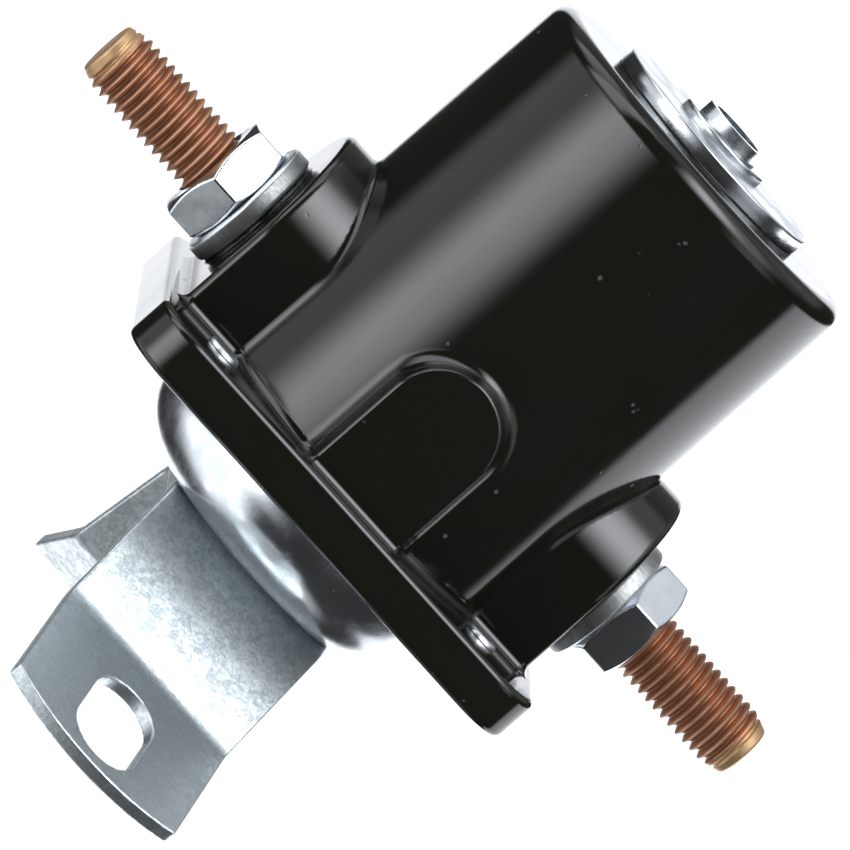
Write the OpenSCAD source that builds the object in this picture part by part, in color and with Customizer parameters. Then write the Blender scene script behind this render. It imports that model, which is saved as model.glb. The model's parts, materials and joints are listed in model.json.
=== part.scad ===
// Starter solenoid relay: round moulded body on a slotted strap bracket,
// two copper power studs, sprung plunger with a floating contact disc.
// Millimetres. +Z runs up the body's axis, +X along the power studs, -Y is the front.
// The origin is on the floor, under the body's axis.

/* [Housing] */
// Body diameter at the flange
body_d = 44.2; // [43.8:0.1:45]
// How much narrower the drafted body is at its top
body_draft = 0.7; // [0.4:0.1:1.2]
// Height from the flange's underside to the top face
body_h = 54.1; // [54:0.1:56]
// Rounding of the body's top edge
body_edge_r = 2.2; // [1:0.1:3]
// How far the flange stands out of the body along the studs
flange_side = 6; // [5.8:0.1:6.6]
// How far the flange stands out of the body at the front and the back
flange_front = 3.6; // [3.5:0.1:4.4]
// Flange thickness
flange_t = 5.4; // [5:0.1:6]
// How far a flange corner runs back from the flange's front or back
flange_corner = 5.2; // [4.6:0.1:5.6]
// Rounding of the flange's corners
flange_corner_r = 6; // [5.5:0.1:7]
// Hollow blend between flange and body
flange_blend_r = 1.4; // [0.8:0.1:2]
// Radius of the two terminal bosses
boss_r = 12.75; // [12:0.05:13.2]
// How far a terminal boss stands out of the body
boss_out = 3.9; // [3.6:0.1:4.5]
// Radius of the raised land under a stud washer
land_r = 7.2; // [6.8:0.1:7.5]
// Height of the raised land
land_t = 0.5; // [0.3:0.1:0.8]
// Half width of the pads at the front and the back
pad_r = 6.5; // [6:0.1:7]
// Width of the hollow step around a pad
pad_rim = 1.6; // [1:0.1:2]
// How far a pad stands out of the body
pad_out = 1.6; // [1.3:0.1:2.1]
// Height of the pads' arc centre above the flange's underside
pad_h = 17.1; // [16.5:0.1:17.5]
// How far the hollow step around a pad stands out of the wall
pad_step = 0.2; // [0.1:0.05:0.4]
// Thickness of the wall around the coil chamber
upper_wall = 5.1; // [4.9:0.1:5.2]
// Thickness of the wall around the contact chamber
lower_wall = 3.5; // [3.3:0.1:3.7]
// Height of the contact chamber's ceiling above the flange's underside
contact_room_h = 24; // [23.8:0.1:24.1]
// Thickness of the top wall
top_wall = 4; // [3.9:0.1:4.3]

/* [Power studs] */
// Height of the stud axis above the flange's underside
stud_axis_h = 15.5; // [15.3:0.1:15.7]
// Stud diameter over the thread
stud_d = 7.94; // [7.6:0.01:8]
// Diameter at which a stud's thread and its nut's thread meet
stud_mesh_d = 7.2; // [7:0.01:7.3]
// How far a stud stands out of its boss
stud_out = 23.5; // [21:0.5:26]
// Length of the tip's chamfer
stud_tip = 1; // [0.5:0.1:1.5]
// Width of a stud's square head
head_w = 12; // [11:0.5:12]
// Height of a stud's square head
head_h = 11; // [10.6:0.1:11.2]
// Thickness of a stud's head
head_t = 6; // [5:0.1:6.2]
// Thickness of the insulating seat behind the head
seat_t = 1.2; // [1:0.1:1.4]
// Outer diameter of a stud washer
washer_d = 15.2; // [14.5:0.1:16]
// Thickness of a stud washer
washer_t = 2.1; // [1.6:0.1:2.4]
// Width of a jam nut across its flats
nut_af = 12.7; // [12.5:0.1:13.3]
// Thickness of a jam nut
nut_t = 4.8; // [4.4:0.1:5.2]
// Turn of the left nut about its stud, in degrees
left_nut_turn = 30; // [0:1:60]
// Turn of the right nut about its stud, in degrees
right_nut_turn = 7; // [0:1:60]

/* [Coil terminal] */
// Diameter of the coil terminal stud at the back
coil_stud_d = 4.82; // [4.6:0.01:5]
// Diameter at which the coil stud's thread and its nut's thread meet
coil_mesh_d = 4.3; // [4.2:0.01:4.4]
// How far the coil stud stands out of its pad
coil_stud_out = 12.3; // [9.3:0.1:12.8]
// Width of the coil nut across its flats
coil_nut_af = 9.5; // [9:0.1:10]
// Thickness of the coil nut
coil_nut_t = 3.2; // [2.8:0.1:3.6]
// Diameter of the coil washer
coil_washer_d = 10.6; // [10:0.1:11.4]
// Thickness of the coil washer
coil_washer_t = 1; // [0.8:0.1:1.2]
// Width of the coil stud's square head
coil_head_w = 7.6; // [7:0.1:8]
// Thickness of the coil stud's head
coil_head_t = 2.6; // [2.2:0.1:2.8]
// Length of the coil stud's chamfer
coil_stud_tip = 0.5; // [0.3:0.1:0.8]

/* [Top] */
// Diameter of the flat washer on the body's top
top_washer_d = 26.7; // [26:0.1:27.4]
// Thickness of the flat washer
top_washer_t = 1.8; // [1.4:0.1:2]
// Diameter of the ring on the flat washer
ring_d = 11.5; // [11:0.1:12]
// Thickness of the ring
ring_t = 1; // [0.8:0.1:1.2]
// Outer diameter of the core's tube
tube_d = 8.1; // [7.8:0.1:8.4]
// Inner diameter of the core's tube
tube_bore_d = 6.3; // [6:0.1:6.5]
// Height of the tube above the ring
tube_rise = 1.5; // [1.2:0.1:2]
// Depth of the open tube
tube_depth = 9; // [7:0.5:9.5]

/* [Base and bracket] */
// How much wider than the contact chamber the cover's bowl is, in radius
cover_lip = 1.9; // [1.7:0.1:2.1]
// Depth of the bowl
cover_depth = 8.4; // [8.2:0.1:8.8]
// Rounding of the bowl's shoulder
cover_shoulder_r = 8; // [7.6:0.1:8.1]
// Sheet thickness of the cover
cover_t = 0.9; // [0.7:0.1:1]
// Distance of the rim plate's ends from the flange's ends
rim_inset_x = 5.1; // [4.7:0.1:5.3]
// Distance of the rim plate's front and back from the flange's
rim_inset_y = 3.7; // [3.3:0.1:3.9]
// Length of the cut across a corner of the rim plate
rim_corner = 1.7; // [1:0.1:2.5]
// Distance of the flange rivets from the rim plate's ends
rivet_edge_x = 3.3; // [3:0.1:3.5]
// Distance of the flange rivets from the rim plate's front or back
rivet_edge_y = 5; // [4.7:0.1:5.2]
// Diameter of a flange rivet's head
rivet_head_d = 4.6; // [4.2:0.1:4.8]
// Diameter of a flange rivet's shank
rivet_d = 3; // [2.6:0.1:3.2]
// Height of a rivet's head
rivet_head_t = 0.8; // [0.6:0.1:1]
// Height of a flange rivet's flattened tail
rivet_tail_t = 0.5; // [0.3:0.1:0.6]
// Distance of the bracket's rivets from the axis
bracket_rivet_x = 6; // [5.5:0.1:6.5]
// Diameter of a bracket rivet's shank
bracket_rivet_d = 3; // [2.6:0.1:3.4]
// Diameter of a bracket rivet's head
bracket_rivet_head_d = 5; // [4.4:0.1:5.4]
// Width of the strap
strap_w = 23.4; // [22.6:0.1:24]
// Thickness of the strap
strap_t = 1.6; // [1.4:0.1:1.8]
// Height from the floor to the strap's flat top
strap_h = 22.7; // [22.3:0.1:23.1]
// Distance between the outermost edges of the feet
strap_span = 74.8; // [74:0.1:77]
// Slope of the legs below the horizontal, in degrees
leg_slope = 55; // [52:1:58]
// Slope of the feet below the horizontal, in degrees
foot_slope = 20; // [18:1:22]
// Length of a foot from its bend to its free edge
foot_len = 20.4; // [19.8:0.1:21]
// Rounding of the bends at the strap's middle line
bend_r = 3.6; // [3:0.1:4]
// Radius of a foot's curved free edge
foot_edge_r = 26.5; // [24:0.5:30]
// Width of a foot's slot
slot_w = 8.1; // [7.5:0.1:8.5]
// Length of a foot's slot
slot_len = 14.3; // [13:0.1:14.6]
// Strap left between a slot and the free edge
slot_land = 1.9; // [1.5:0.1:2.4]

/* [Plunger and contact] */
// Travel of the plunger
travel = 2.7; // [2.5:0.1:2.7]
// Gap between the contact disc and the stud heads
contact_gap = 2.2; // [2:0.1:2.2]
// Plunger radius
plunger_r = 5.9; // [5.8:0.01:5.9]
// Plunger length
plunger_len = 13; // [12:0.5:13]
// Radial running clearance of the plunger in its bobbin
slide_fit = 0.08; // [0.05:0.01:0.1]
// Stem radius
stem_r = 1.6; // [1.5:0.05:1.7]
// Room between the contact disc and the chamber's wall
disc_room = 3.6; // [3.2:0.1:4.6]
// Contact disc thickness
disc_t = 1.6; // [1.2:0.1:1.8]

/* [Hidden] */

$fn = 96;

// Overrun of every cut past the face that it opens
cut = 0.5;
// Gap between flat faces of pieces that move apart
flat_gap = 0.1;
// Radial room of a bolt, a rivet or a stem in a plain hole
hole_room = 0.1;
// Radial room around a piece that is slid into its place
slip_room = 0.3;
// Gap between a nut's face and the free thread outside it
thread_gap = 0.3;

black = [0.03, 0.03, 0.03];
copper = [0.72, 0.4, 0.25];
zinc = [0.75, 0.77, 0.8];
steel = [0.55, 0.56, 0.58];
fibre = [0.5, 0.3, 0.2];
nylon = [0.85, 0.83, 0.76];

// Radii and widths that follow the body
body_top_d = body_d - body_draft;
flange_w = body_d + 2 * flange_side;
flange_depth = body_d + 2 * flange_front;
flange_end_w = flange_depth - 2 * flange_corner;
boss_reach = body_d / 2 + boss_out;
pad_reach = body_d / 2 + pad_out;
coil_room_r = body_d / 2 - upper_wall;
contact_room_r = body_d / 2 - lower_wall;
disc_r = contact_room_r - disc_room;
cover_r = contact_room_r + cover_lip;
rim_w = flange_w - 2 * rim_inset_x;
rim_depth = flange_depth - 2 * rim_inset_y;
rivet_x = rim_w / 2 - rivet_edge_x;
rivet_y = rim_depth / 2 - rivet_edge_y;
stud_reach = boss_reach + stud_out;
coil_stud_reach = pad_reach + coil_stud_out;

// Heights above the floor
flange_z = strap_h + cover_depth;
axis_z = flange_z + stud_axis_h;
pad_z = flange_z + pad_h;
body_top_z = flange_z + body_h;
contact_room_z = flange_z + contact_room_h;
coil_room_z = body_top_z - top_wall;
washer_top_z = body_top_z + top_washer_t;
ring_top_z = washer_top_z + ring_t;
tube_top_z = ring_top_z + tube_rise;
head_z = axis_z - head_h / 2;
cover_floor_z = strap_h + cover_t;

// Distances from the axis to a stud washer's inner face and to a nut's two faces
washer_x0 = boss_reach + land_t;
nut_x0 = washer_x0 + washer_t;
nut_x1 = nut_x0 + nut_t;
coil_nut_y0 = pad_reach + coil_washer_t;
coil_nut_y1 = coil_nut_y0 + coil_nut_t;

// Inner pads that the stud heads seat against
inner_pad_t = 1.4;
head_border = 2;
coil_head_border = 1.7;
inner_pad_x = contact_room_r - inner_pad_t;
inner_pad_w = head_w + 2 * head_border;
coil_pad_y = inner_pad_x;
coil_pad_w = coil_head_w + 2 * coil_head_border;

// Gasket in its groove above the cover's rim plate
gasket_t = 1;
gasket_w = 2.6;
gasket_r = contact_room_r + gasket_w;

// Slope of the chamfer on the nuts' corners, in degrees, and its depth into the flats
nut_bevel_slope = 30;
nut_bevel = 0.3;

// Magnet circuit
frame_wall = 1.2;
frame_top_t = 1.8;
frame_lift = 0.2;
pole_t = 1.8;
pole_room = 0.4;
frame_r = coil_room_r - slip_room;
pole_z = contact_room_z + frame_lift;
frame_top_z = coil_room_z - frame_top_t;

// Bobbin and winding
bobbin_wall = 0.8;
bobbin_flange_t = 1;
winding_inset = 0.8;
winding_gap = 0.05;
bobbin_z = pole_z + pole_t + flat_gap;
bobbin_h = frame_top_z - flat_gap - bobbin_z;
bobbin_bore_r = plunger_r + slide_fit;
bobbin_flange_r = frame_r - frame_wall - slip_room;
winding_r = bobbin_flange_r - winding_inset;
winding_z = bobbin_z + bobbin_flange_t + winding_gap;

// Leads of the coil
lead_r = 0.5;
lead_room = 0.3;
lead_drop = 1.2;
lead_slant = 3;
lead_y = winding_r - lead_r;
lead_hole_r = lead_r + lead_room;
ground_y = contact_room_r - inner_pad_t;
// Size of the ball at a wire's bend, as a share of the wire's radius
bead_share = 1.06;

// Plunger stack, at rest
plunger_drop = 5.6;
plunger_bore_depth = 5.5;
core_bore_depth = 5.7;
stem_grip = 5;
plunger_z = bobbin_z - plunger_drop;
plunger_top_z = plunger_z + plunger_len;
pole_face_z = plunger_top_z + travel + flat_gap;
stem_z = cover_floor_z + flat_gap;

// Contact disc with its bush and washer, at rest
bush_r = 2.9;
bush_flange_t = 1;
bush_flange_w = 2;
disc_washer_t = 0.8;
disc_washer_w = 1.6;
collar_t = 1.5;
collar_r = 3;
disc_top_z = head_z - contact_gap;
disc_z = disc_top_z - disc_t;
bush_z = disc_z - bush_flange_t;
collar_z = disc_top_z + disc_washer_t + flat_gap;

// Contact spring between the bush and its seat on the stem
contact_spring_len = 5.2;
contact_spring_r = 3.4;
contact_wire_r = 0.4;
contact_turns = 3;
spring_seat_t = 0.8;
spring_seat_r = 4.8;
clip_t = 0.7;
clip_r = 3.6;
spring_seat_z = bush_z - flat_gap / 2 - contact_spring_len - spring_seat_t;
clip_z = spring_seat_z - clip_t;

// Return spring between the plunger and the core
return_spring_r = 2.5;
return_wire_r = 0.3;
return_turns = 9;
return_spring_room = 0.5;
spring_bore_r = return_spring_r + return_wire_r + return_spring_room;
return_spring_z = plunger_top_z - plunger_bore_depth;
return_spring_top_z = pole_face_z + core_bore_depth;

// Rings to a turn of a spring, and sides of its wire
turn_rings = 12;
wire_sides = 6;

// A straight cylinder along +X that starts at x
module rod_x(x, length, r) {
    translate([x, 0, 0])
    rotate([0, 90, 0])
    cylinder(h = length, r = r);
}

// A straight cylinder along +Y that starts at y
module rod_y(y, length, r) {
    translate([0, y, 0])
    rotate([-90, 0, 0])
    cylinder(h = length, r = r);
}

// A flat ring that starts at z
module ring(z, height, outer_r, inner_r) {
    translate([0, 0, z])
    difference() {
        cylinder(h = height, r = outer_r);
        translate([0, 0, -cut])
        cylinder(h = height + 2 * cut, r = inner_r);
    }
}

// Outline of the flange: flat ends, straight sides, rounded corners
module flange_outline() {
    rise = (flange_depth - flange_end_w) / 2 - flange_corner_r;
    run = sqrt(flange_corner_r * flange_corner_r - rise * rise);
    corner_x = flange_w / 2 - run;
    corner_y = flange_depth / 2 - flange_corner_r;
    intersection() {
        square([flange_w, flange_depth], center = true);
        union() {
            square([2 * corner_x, flange_depth], center = true);
            square([flange_w, flange_end_w], center = true);
            for (x = [-corner_x, corner_x], y = [-corner_y, corner_y])
                translate([x, y])
                circle(r = flange_corner_r);
        }
    }
}

// Round body with a drafted wall and a rounded top edge
module body_shell() {
    wall_top = body_top_d / 2;
    rotate_extrude()
    union() {
        difference() {
            polygon([[0, 0], [body_d / 2, 0], [wall_top, body_h - body_edge_r], [wall_top, body_h], [0, body_h]]);
            translate([wall_top - body_edge_r, body_h - body_edge_r])
            square([body_edge_r + cut, body_edge_r + cut]);
        }
        translate([wall_top - body_edge_r, body_h - body_edge_r])
        circle(r = body_edge_r);
    }
}

// Hollow blend where the body stands on the flange
module flange_blend() {
    foot_r = body_d / 2;
    translate([0, 0, flange_t])
    rotate_extrude()
    difference() {
        translate([foot_r - cut, -cut])
        square([flange_blend_r + cut, flange_blend_r + cut]);
        translate([foot_r + flange_blend_r, flange_blend_r])
        circle(r = flange_blend_r);
    }
}

// Round topped pad on the body's wall, facing -Y, with a hollow step around its face
module pad() {
    step_reach = body_d / 2 + pad_step;
    translate([0, 0, pad_h])
    union() {
        rotate([90, 0, 0])
        cylinder(h = pad_reach, r = pad_r);
        rotate([90, 0, 0])
        cylinder(h = step_reach, r = pad_r + pad_rim);
    }
    translate([-pad_r, -pad_reach, flange_t / 2])
    cube([2 * pad_r, pad_reach, pad_h - flange_t / 2]);
    translate([-pad_r - pad_rim, -step_reach, flange_t / 2])
    cube([2 * (pad_r + pad_rim), step_reach, pad_h - flange_t / 2]);
}

// Terminal boss facing +X
module terminal_boss() {
    translate([0, 0, stud_axis_h]) {
        rod_x(0, boss_reach, boss_r);
        rod_x(0, washer_x0, land_r);
    }
    translate([0, -boss_r, flange_t / 2])
    cube([boss_reach, 2 * boss_r, stud_axis_h - flange_t / 2]);
}

module housing_outside() {
    linear_extrude(height = flange_t)
    flange_outline();
    body_shell();
    flange_blend();
    terminal_boss();
    mirror([1, 0, 0])
    terminal_boss();
    pad();
    mirror([0, 1, 0])
    pad();
}

// Contact chamber, less the flat inner pads behind the heads
module contact_room() {
    difference() {
        translate([0, 0, -cut])
        cylinder(h = contact_room_h + cut, r = contact_room_r);
        for (side = [0, 1])
            mirror([side, 0, 0])
            translate([inner_pad_x, -inner_pad_w / 2, stud_axis_h - inner_pad_w / 2])
            cube([contact_room_r, inner_pad_w, inner_pad_w]);
        translate([-coil_pad_w / 2, coil_pad_y, pad_h - coil_pad_w / 2])
        cube([coil_pad_w, contact_room_r, coil_pad_w]);
    }
}

module housing() {
    color(black)
    translate([0, 0, flange_z])
    difference() {
        housing_outside();
        contact_room();
        translate([0, 0, contact_room_h - cut])
        cylinder(h = body_h - top_wall - contact_room_h + cut, r = coil_room_r);
        translate([0, 0, body_h - top_wall - cut])
        cylinder(h = top_wall + 2 * cut, r = tube_d / 2 + hole_room);
        translate([0, 0, stud_axis_h])
        rod_x(-washer_x0 - cut, 2 * (washer_x0 + cut), stud_d / 2 + hole_room);
        translate([0, 0, pad_h])
        rod_y(coil_pad_y - cut, pad_reach - coil_pad_y + 2 * cut, coil_stud_d / 2 + hole_room);
        translate([0, 0, -cut])
        linear_extrude(height = cover_t + cut)
        rim_outline(flat_gap);
        ring(cover_t - cut, gasket_t + cut, gasket_r + flat_gap, contact_room_r - cut);
        for (x = [-rivet_x, rivet_x], y = [-rivet_y, rivet_y])
            translate([x, y, 0]) {
                cylinder(h = flange_t + cut, r = rivet_d / 2 + hole_room);
                translate([0, 0, flange_t])
                cylinder(h = rivet_head_t + cut, r = rivet_head_d / 2 + hole_room);
            }
    }
}

module base_gasket() {
    color(fibre)
    ring(flange_z + cover_t, gasket_t - flat_gap, gasket_r, contact_room_r + flat_gap);
}

// Outline of the cover's rim plate with its corners cut, grown by a margin
module rim_outline(margin) {
    x = rim_w / 2 + margin;
    y = rim_depth / 2 + margin;
    c = rim_corner;
    polygon([
        [x, c - y], [x, y - c], [x - c, y], [c - x, y],
        [-x, y - c], [-x, c - y], [c - x, -y], [x - c, -y]
    ]);
}

// Filled bowl with a rounded shoulder, hanging down from z = 0
module bowl(r, depth, shoulder) {
    rotate_extrude()
    intersection() {
        translate([0, -depth])
        square([r, depth]);
        union() {
            translate([0, -depth])
            square([r - shoulder, depth]);
            translate([0, -depth + shoulder])
            square([r, depth]);
            translate([r - shoulder, -depth + shoulder])
            circle(r = shoulder);
        }
    }
}

module base_cover() {
    color(zinc)
    translate([0, 0, flange_z])
    difference() {
        union() {
            bowl(cover_r, cover_depth, cover_shoulder_r);
            linear_extrude(height = cover_t)
            rim_outline(0);
        }
        translate([0, 0, cover_t + cut])
        bowl(cover_r - cover_t, cover_depth + cut, cover_shoulder_r - cover_t);
        for (x = [-rivet_x, rivet_x], y = [-rivet_y, rivet_y])
            translate([x, y, -cut])
            cylinder(h = cover_t + 2 * cut, r = rivet_d / 2 + hole_room);
        for (x = [-bracket_rivet_x, bracket_rivet_x])
            translate([x, 0, -cover_depth - cut])
            cylinder(h = cover_t + 2 * cut, r = bracket_rivet_d / 2 + hole_room);
    }
}

// Middle line of half the strap, from the centre outwards: [y, z, slope] stations
bend_steps = 10;
bends_drop = bend_r * (1 - cos(leg_slope)) + bend_r * (cos(foot_slope) - cos(leg_slope));
bends_out = bend_r * sin(leg_slope) + bend_r * (sin(leg_slope) - sin(foot_slope));
line_drop = strap_h - strap_t / 2 - strap_t / 2 * cos(foot_slope);
leg_len = (line_drop - bends_drop - foot_len * sin(foot_slope)) / sin(leg_slope);
strap_out = bends_out + leg_len * cos(leg_slope) + foot_len * cos(foot_slope);
flat_half = strap_span / 2 - strap_t / 2 * sin(foot_slope) - strap_out;

function bend_one(k) =
    let (a = leg_slope * k / bend_steps)
    [flat_half + bend_r * sin(a), strap_h - strap_t / 2 - bend_r * (1 - cos(a)), a];

function leg_end() =
    let (p = bend_one(bend_steps))
    [p[0] + leg_len * cos(leg_slope), p[1] - leg_len * sin(leg_slope), leg_slope];

function bend_two(k) =
    let (p = leg_end(), a = leg_slope + (foot_slope - leg_slope) * k / bend_steps)
    [p[0] + bend_r * (sin(leg_slope) - sin(a)), p[1] - bend_r * (cos(a) - cos(leg_slope)), a];

function foot_end() =
    let (p = bend_two(bend_steps))
    [p[0] + foot_len * cos(foot_slope), p[1] - foot_len * sin(foot_slope), foot_slope];

strap_line = concat(
    [[0, strap_h - strap_t / 2, 0]],
    [for (k = [0:bend_steps]) bend_one(k)],
    [for (k = [0:bend_steps]) bend_two(k)],
    [foot_end()]
);

function strap_side(p, off) = [p[0] + off * sin(p[2]), p[1] + off * cos(p[2])];

// Half of the strap's side profile, drawn in Y and Z
module strap_profile() {
    last = len(strap_line) - 1;
    polygon(concat(
        [for (k = [0:last]) strap_side(strap_line[k], strap_t / 2)],
        [for (k = [0:last]) strap_side(strap_line[last - k], -strap_t / 2)]
    ));
}

// Cutter frame of a foot: origin at the middle of its free edge, X along the foot outwards
module on_foot() {
    p = foot_end();
    translate([0, p[0], p[1]])
    rotate([-foot_slope, 0, 0])
    rotate([0, 0, 90])
    children();
}

module half_bracket() {
    difference() {
        translate([-strap_w / 2, 0, 0])
        rotate([90, 0, 90])
        linear_extrude(height = strap_w)
        strap_profile();
        on_foot()
        difference() {
            translate([-foot_len / 2, -strap_w, -strap_t])
            cube([foot_len, 2 * strap_w, 2 * strap_t]);
            translate([-foot_edge_r, 0, -2 * strap_t])
            cylinder(h = 4 * strap_t, r = foot_edge_r);
        }
        on_foot()
        for (x = [-slot_land - slot_w / 2, -slot_land - slot_len + slot_w / 2])
            translate([x, 0, -strap_t])
            cylinder(h = 2 * strap_t, r = slot_w / 2);
        on_foot()
        translate([-slot_land - slot_len + slot_w / 2, -slot_w / 2, -strap_t])
        cube([slot_len - slot_w, slot_w, 2 * strap_t]);
    }
}

module mounting_bracket() {
    color(zinc)
    difference() {
        union() {
            half_bracket();
            mirror([0, 1, 0])
            half_bracket();
        }
        for (x = [-bracket_rivet_x, bracket_rivet_x])
            translate([x, 0, strap_h - strap_t - cut])
            cylinder(h = strap_t + 2 * cut, r = bracket_rivet_d / 2 + hole_room);
    }
}

// Rivet through the flange corner, with a head on both ends
module flange_rivet(x, y) {
    color(zinc)
    translate([x, y, 0]) {
        translate([0, 0, flange_z])
        cylinder(h = flange_t, r = rivet_d / 2);
        translate([0, 0, flange_z + flange_t])
        rivet_head(rivet_head_d / 2, rivet_head_t);
        translate([0, 0, flange_z])
        mirror([0, 0, 1])
        rivet_head(rivet_head_d / 2, rivet_tail_t);
    }
}

// Low head with a sloped rim
module rivet_head(r, height) {
    cylinder(h = height / 2, r = r);
    translate([0, 0, height / 2])
    cylinder(h = height / 2, r1 = r, r2 = r - height / 2);
}

module bracket_rivet(x) {
    color(zinc)
    translate([x, 0, 0]) {
        translate([0, 0, strap_h - strap_t])
        cylinder(h = strap_t + cover_t, r = bracket_rivet_d / 2);
        translate([0, 0, strap_h + cover_t])
        rivet_head(bracket_rivet_head_d / 2, rivet_head_t);
        translate([0, 0, strap_h - strap_t])
        mirror([0, 0, 1])
        rivet_head(bracket_rivet_head_d / 2, rivet_head_t);
    }
}

// Power stud towards +X: threaded shank with a chamfered tip, square head inside
module power_stud() {
    head_x = inner_pad_x - seat_t - head_t;
    shank_x = head_x + head_t;
    color(copper)
    translate([0, 0, axis_z]) {
        translate([head_x, -head_w / 2, -head_h / 2])
        cube([head_t, head_w, head_h]);
        rod_x(shank_x - cut, nut_x0 - shank_x + cut, stud_d / 2);
        rod_x(nut_x0 - cut, nut_t + thread_gap + 2 * cut, stud_mesh_d / 2);
        rod_x(nut_x1 + thread_gap, stud_reach - stud_tip - nut_x1 - thread_gap, stud_d / 2);
        translate([stud_reach - stud_tip, 0, 0])
        rotate([0, 90, 0])
        cylinder(h = stud_tip, r1 = stud_d / 2, r2 = stud_d / 2 - stud_tip);
    }
}

module stud_seat() {
    color(fibre)
    translate([0, 0, axis_z])
    difference() {
        translate([inner_pad_x - seat_t, -head_w / 2, -head_h / 2])
        cube([seat_t, head_w, head_h]);
        rod_x(inner_pad_x - seat_t - cut, seat_t + 2 * cut, stud_d / 2 + hole_room);
    }
}

// Flat washer along +X that starts at x
module washer_x(x, height, outer_r, inner_r) {
    difference() {
        rod_x(x, height, outer_r);
        rod_x(x - cut, height + 2 * cut, inner_r);
    }
}

// Hexagonal nut along +X that starts at x, chamfered on both ends
module nut_x(x, height, flats, bore_r) {
    face_r = flats / 2 - nut_bevel;
    middle_r = face_r + height / 2 / tan(nut_bevel_slope);
    translate([x, 0, 0])
    rotate([0, 90, 0])
    difference() {
        intersection() {
            cylinder(h = height, r = flats / 2 / cos(30), $fn = 6);
            union() {
                cylinder(h = height / 2, r1 = face_r, r2 = middle_r);
                translate([0, 0, height / 2])
                cylinder(h = height / 2, r1 = middle_r, r2 = face_r);
            }
        }
        translate([0, 0, -cut])
        cylinder(h = height + 2 * cut, r = bore_r);
    }
}

module stud_washer() {
    color(zinc)
    translate([0, 0, axis_z])
    washer_x(washer_x0, washer_t, washer_d / 2, stud_d / 2 + hole_room);
}

module stud_nut(turn) {
    color(zinc)
    translate([0, 0, axis_z])
    rotate([turn, 0, 0])
    nut_x(nut_x0, nut_t, nut_af, stud_mesh_d / 2);
}

module coil_stud() {
    shank_y = coil_pad_y - seat_t;
    color(copper)
    translate([0, 0, pad_z]) {
        translate([-coil_head_w / 2, shank_y - coil_head_t, -coil_head_w / 2])
        cube([coil_head_w, coil_head_t, coil_head_w]);
        rod_y(shank_y - cut, coil_nut_y0 - shank_y + cut, coil_stud_d / 2);
        rod_y(coil_nut_y0 - cut, coil_nut_t + thread_gap + 2 * cut, coil_mesh_d / 2);
        rod_y(coil_nut_y1 + thread_gap, coil_stud_reach - coil_stud_tip - coil_nut_y1 - thread_gap, coil_stud_d / 2);
        translate([0, coil_stud_reach - coil_stud_tip, 0])
        rotate([-90, 0, 0])
        cylinder(h = coil_stud_tip, r1 = coil_stud_d / 2, r2 = coil_stud_d / 2 - coil_stud_tip);
    }
}

module coil_seat() {
    color(fibre)
    translate([0, 0, pad_z])
    difference() {
        translate([-coil_head_w / 2, coil_pad_y - seat_t, -coil_head_w / 2])
        cube([coil_head_w, seat_t, coil_head_w]);
        rod_y(coil_pad_y - seat_t - cut, seat_t + 2 * cut, coil_stud_d / 2 + hole_room);
    }
}

module coil_washer() {
    color(zinc)
    translate([0, 0, pad_z])
    difference() {
        rod_y(pad_reach, coil_washer_t, coil_washer_d / 2);
        rod_y(pad_reach - cut, coil_washer_t + 2 * cut, coil_stud_d / 2 + hole_room);
    }
}

module coil_nut() {
    color(zinc)
    translate([0, 0, pad_z])
    rotate([0, 0, 90])
    nut_x(coil_nut_y0, coil_nut_t, coil_nut_af, coil_mesh_d / 2);
}

module top_washer() {
    color(zinc)
    ring(body_top_z, top_washer_t, top_washer_d / 2, tube_d / 2 + hole_room);
}

module core_ring() {
    color(zinc)
    ring(washer_top_z, ring_t, ring_d / 2, tube_d / 2);
}

// Fixed core: thick below the magnet frame's top, a tube above it
module core_tube() {
    color(steel)
    difference() {
        union() {
            translate([0, 0, pole_face_z])
            cylinder(h = frame_top_z - pole_face_z, r = plunger_r);
            translate([0, 0, frame_top_z - cut])
            cylinder(h = tube_top_z - frame_top_z + cut, r = tube_d / 2);
        }
        translate([0, 0, tube_top_z - tube_depth])
        cylinder(h = tube_depth + cut, r = tube_bore_d / 2);
        translate([0, 0, pole_face_z - cut])
        cylinder(h = core_bore_depth + cut, r = spring_bore_r);
    }
}

module magnet_frame() {
    color(steel)
    union() {
        ring(frame_top_z, frame_top_t, frame_r, tube_d / 2);
        ring(pole_z, frame_top_z - pole_z, frame_r, frame_r - frame_wall);
    }
}

// Hole for a lead through a plate
module lead_hole(y, z, height) {
    translate([0, y, z - cut])
    cylinder(h = height + 2 * cut, r = lead_hole_r);
}

module pole_plate() {
    color(steel)
    difference() {
        ring(pole_z, pole_t, frame_r - frame_wall, bobbin_bore_r + pole_room);
        lead_hole(lead_y, pole_z, pole_t);
        lead_hole(-lead_y, pole_z, pole_t);
    }
}

module coil_bobbin() {
    color(nylon)
    difference() {
        union() {
            ring(bobbin_z, bobbin_h, bobbin_bore_r + bobbin_wall, bobbin_bore_r);
            ring(bobbin_z, bobbin_flange_t, bobbin_flange_r, bobbin_bore_r);
            ring(bobbin_z + bobbin_h - bobbin_flange_t, bobbin_flange_t, bobbin_flange_r, bobbin_bore_r);
        }
        lead_hole(lead_y, bobbin_z, bobbin_flange_t);
        lead_hole(-lead_y, bobbin_z, bobbin_flange_t);
    }
}

module coil_winding() {
    color(copper)
    ring(
        winding_z,
        bobbin_h - 2 * (bobbin_flange_t + winding_gap),
        winding_r,
        bobbin_bore_r + bobbin_wall + winding_gap
    );
}

// Straight lead from the winding down to the coil stud's head
module coil_lead() {
    lead_z = pad_z + coil_head_w / 2;
    color(copper)
    translate([0, lead_y, lead_z])
    cylinder(h = winding_z - lead_z, r = lead_r);
}

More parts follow.
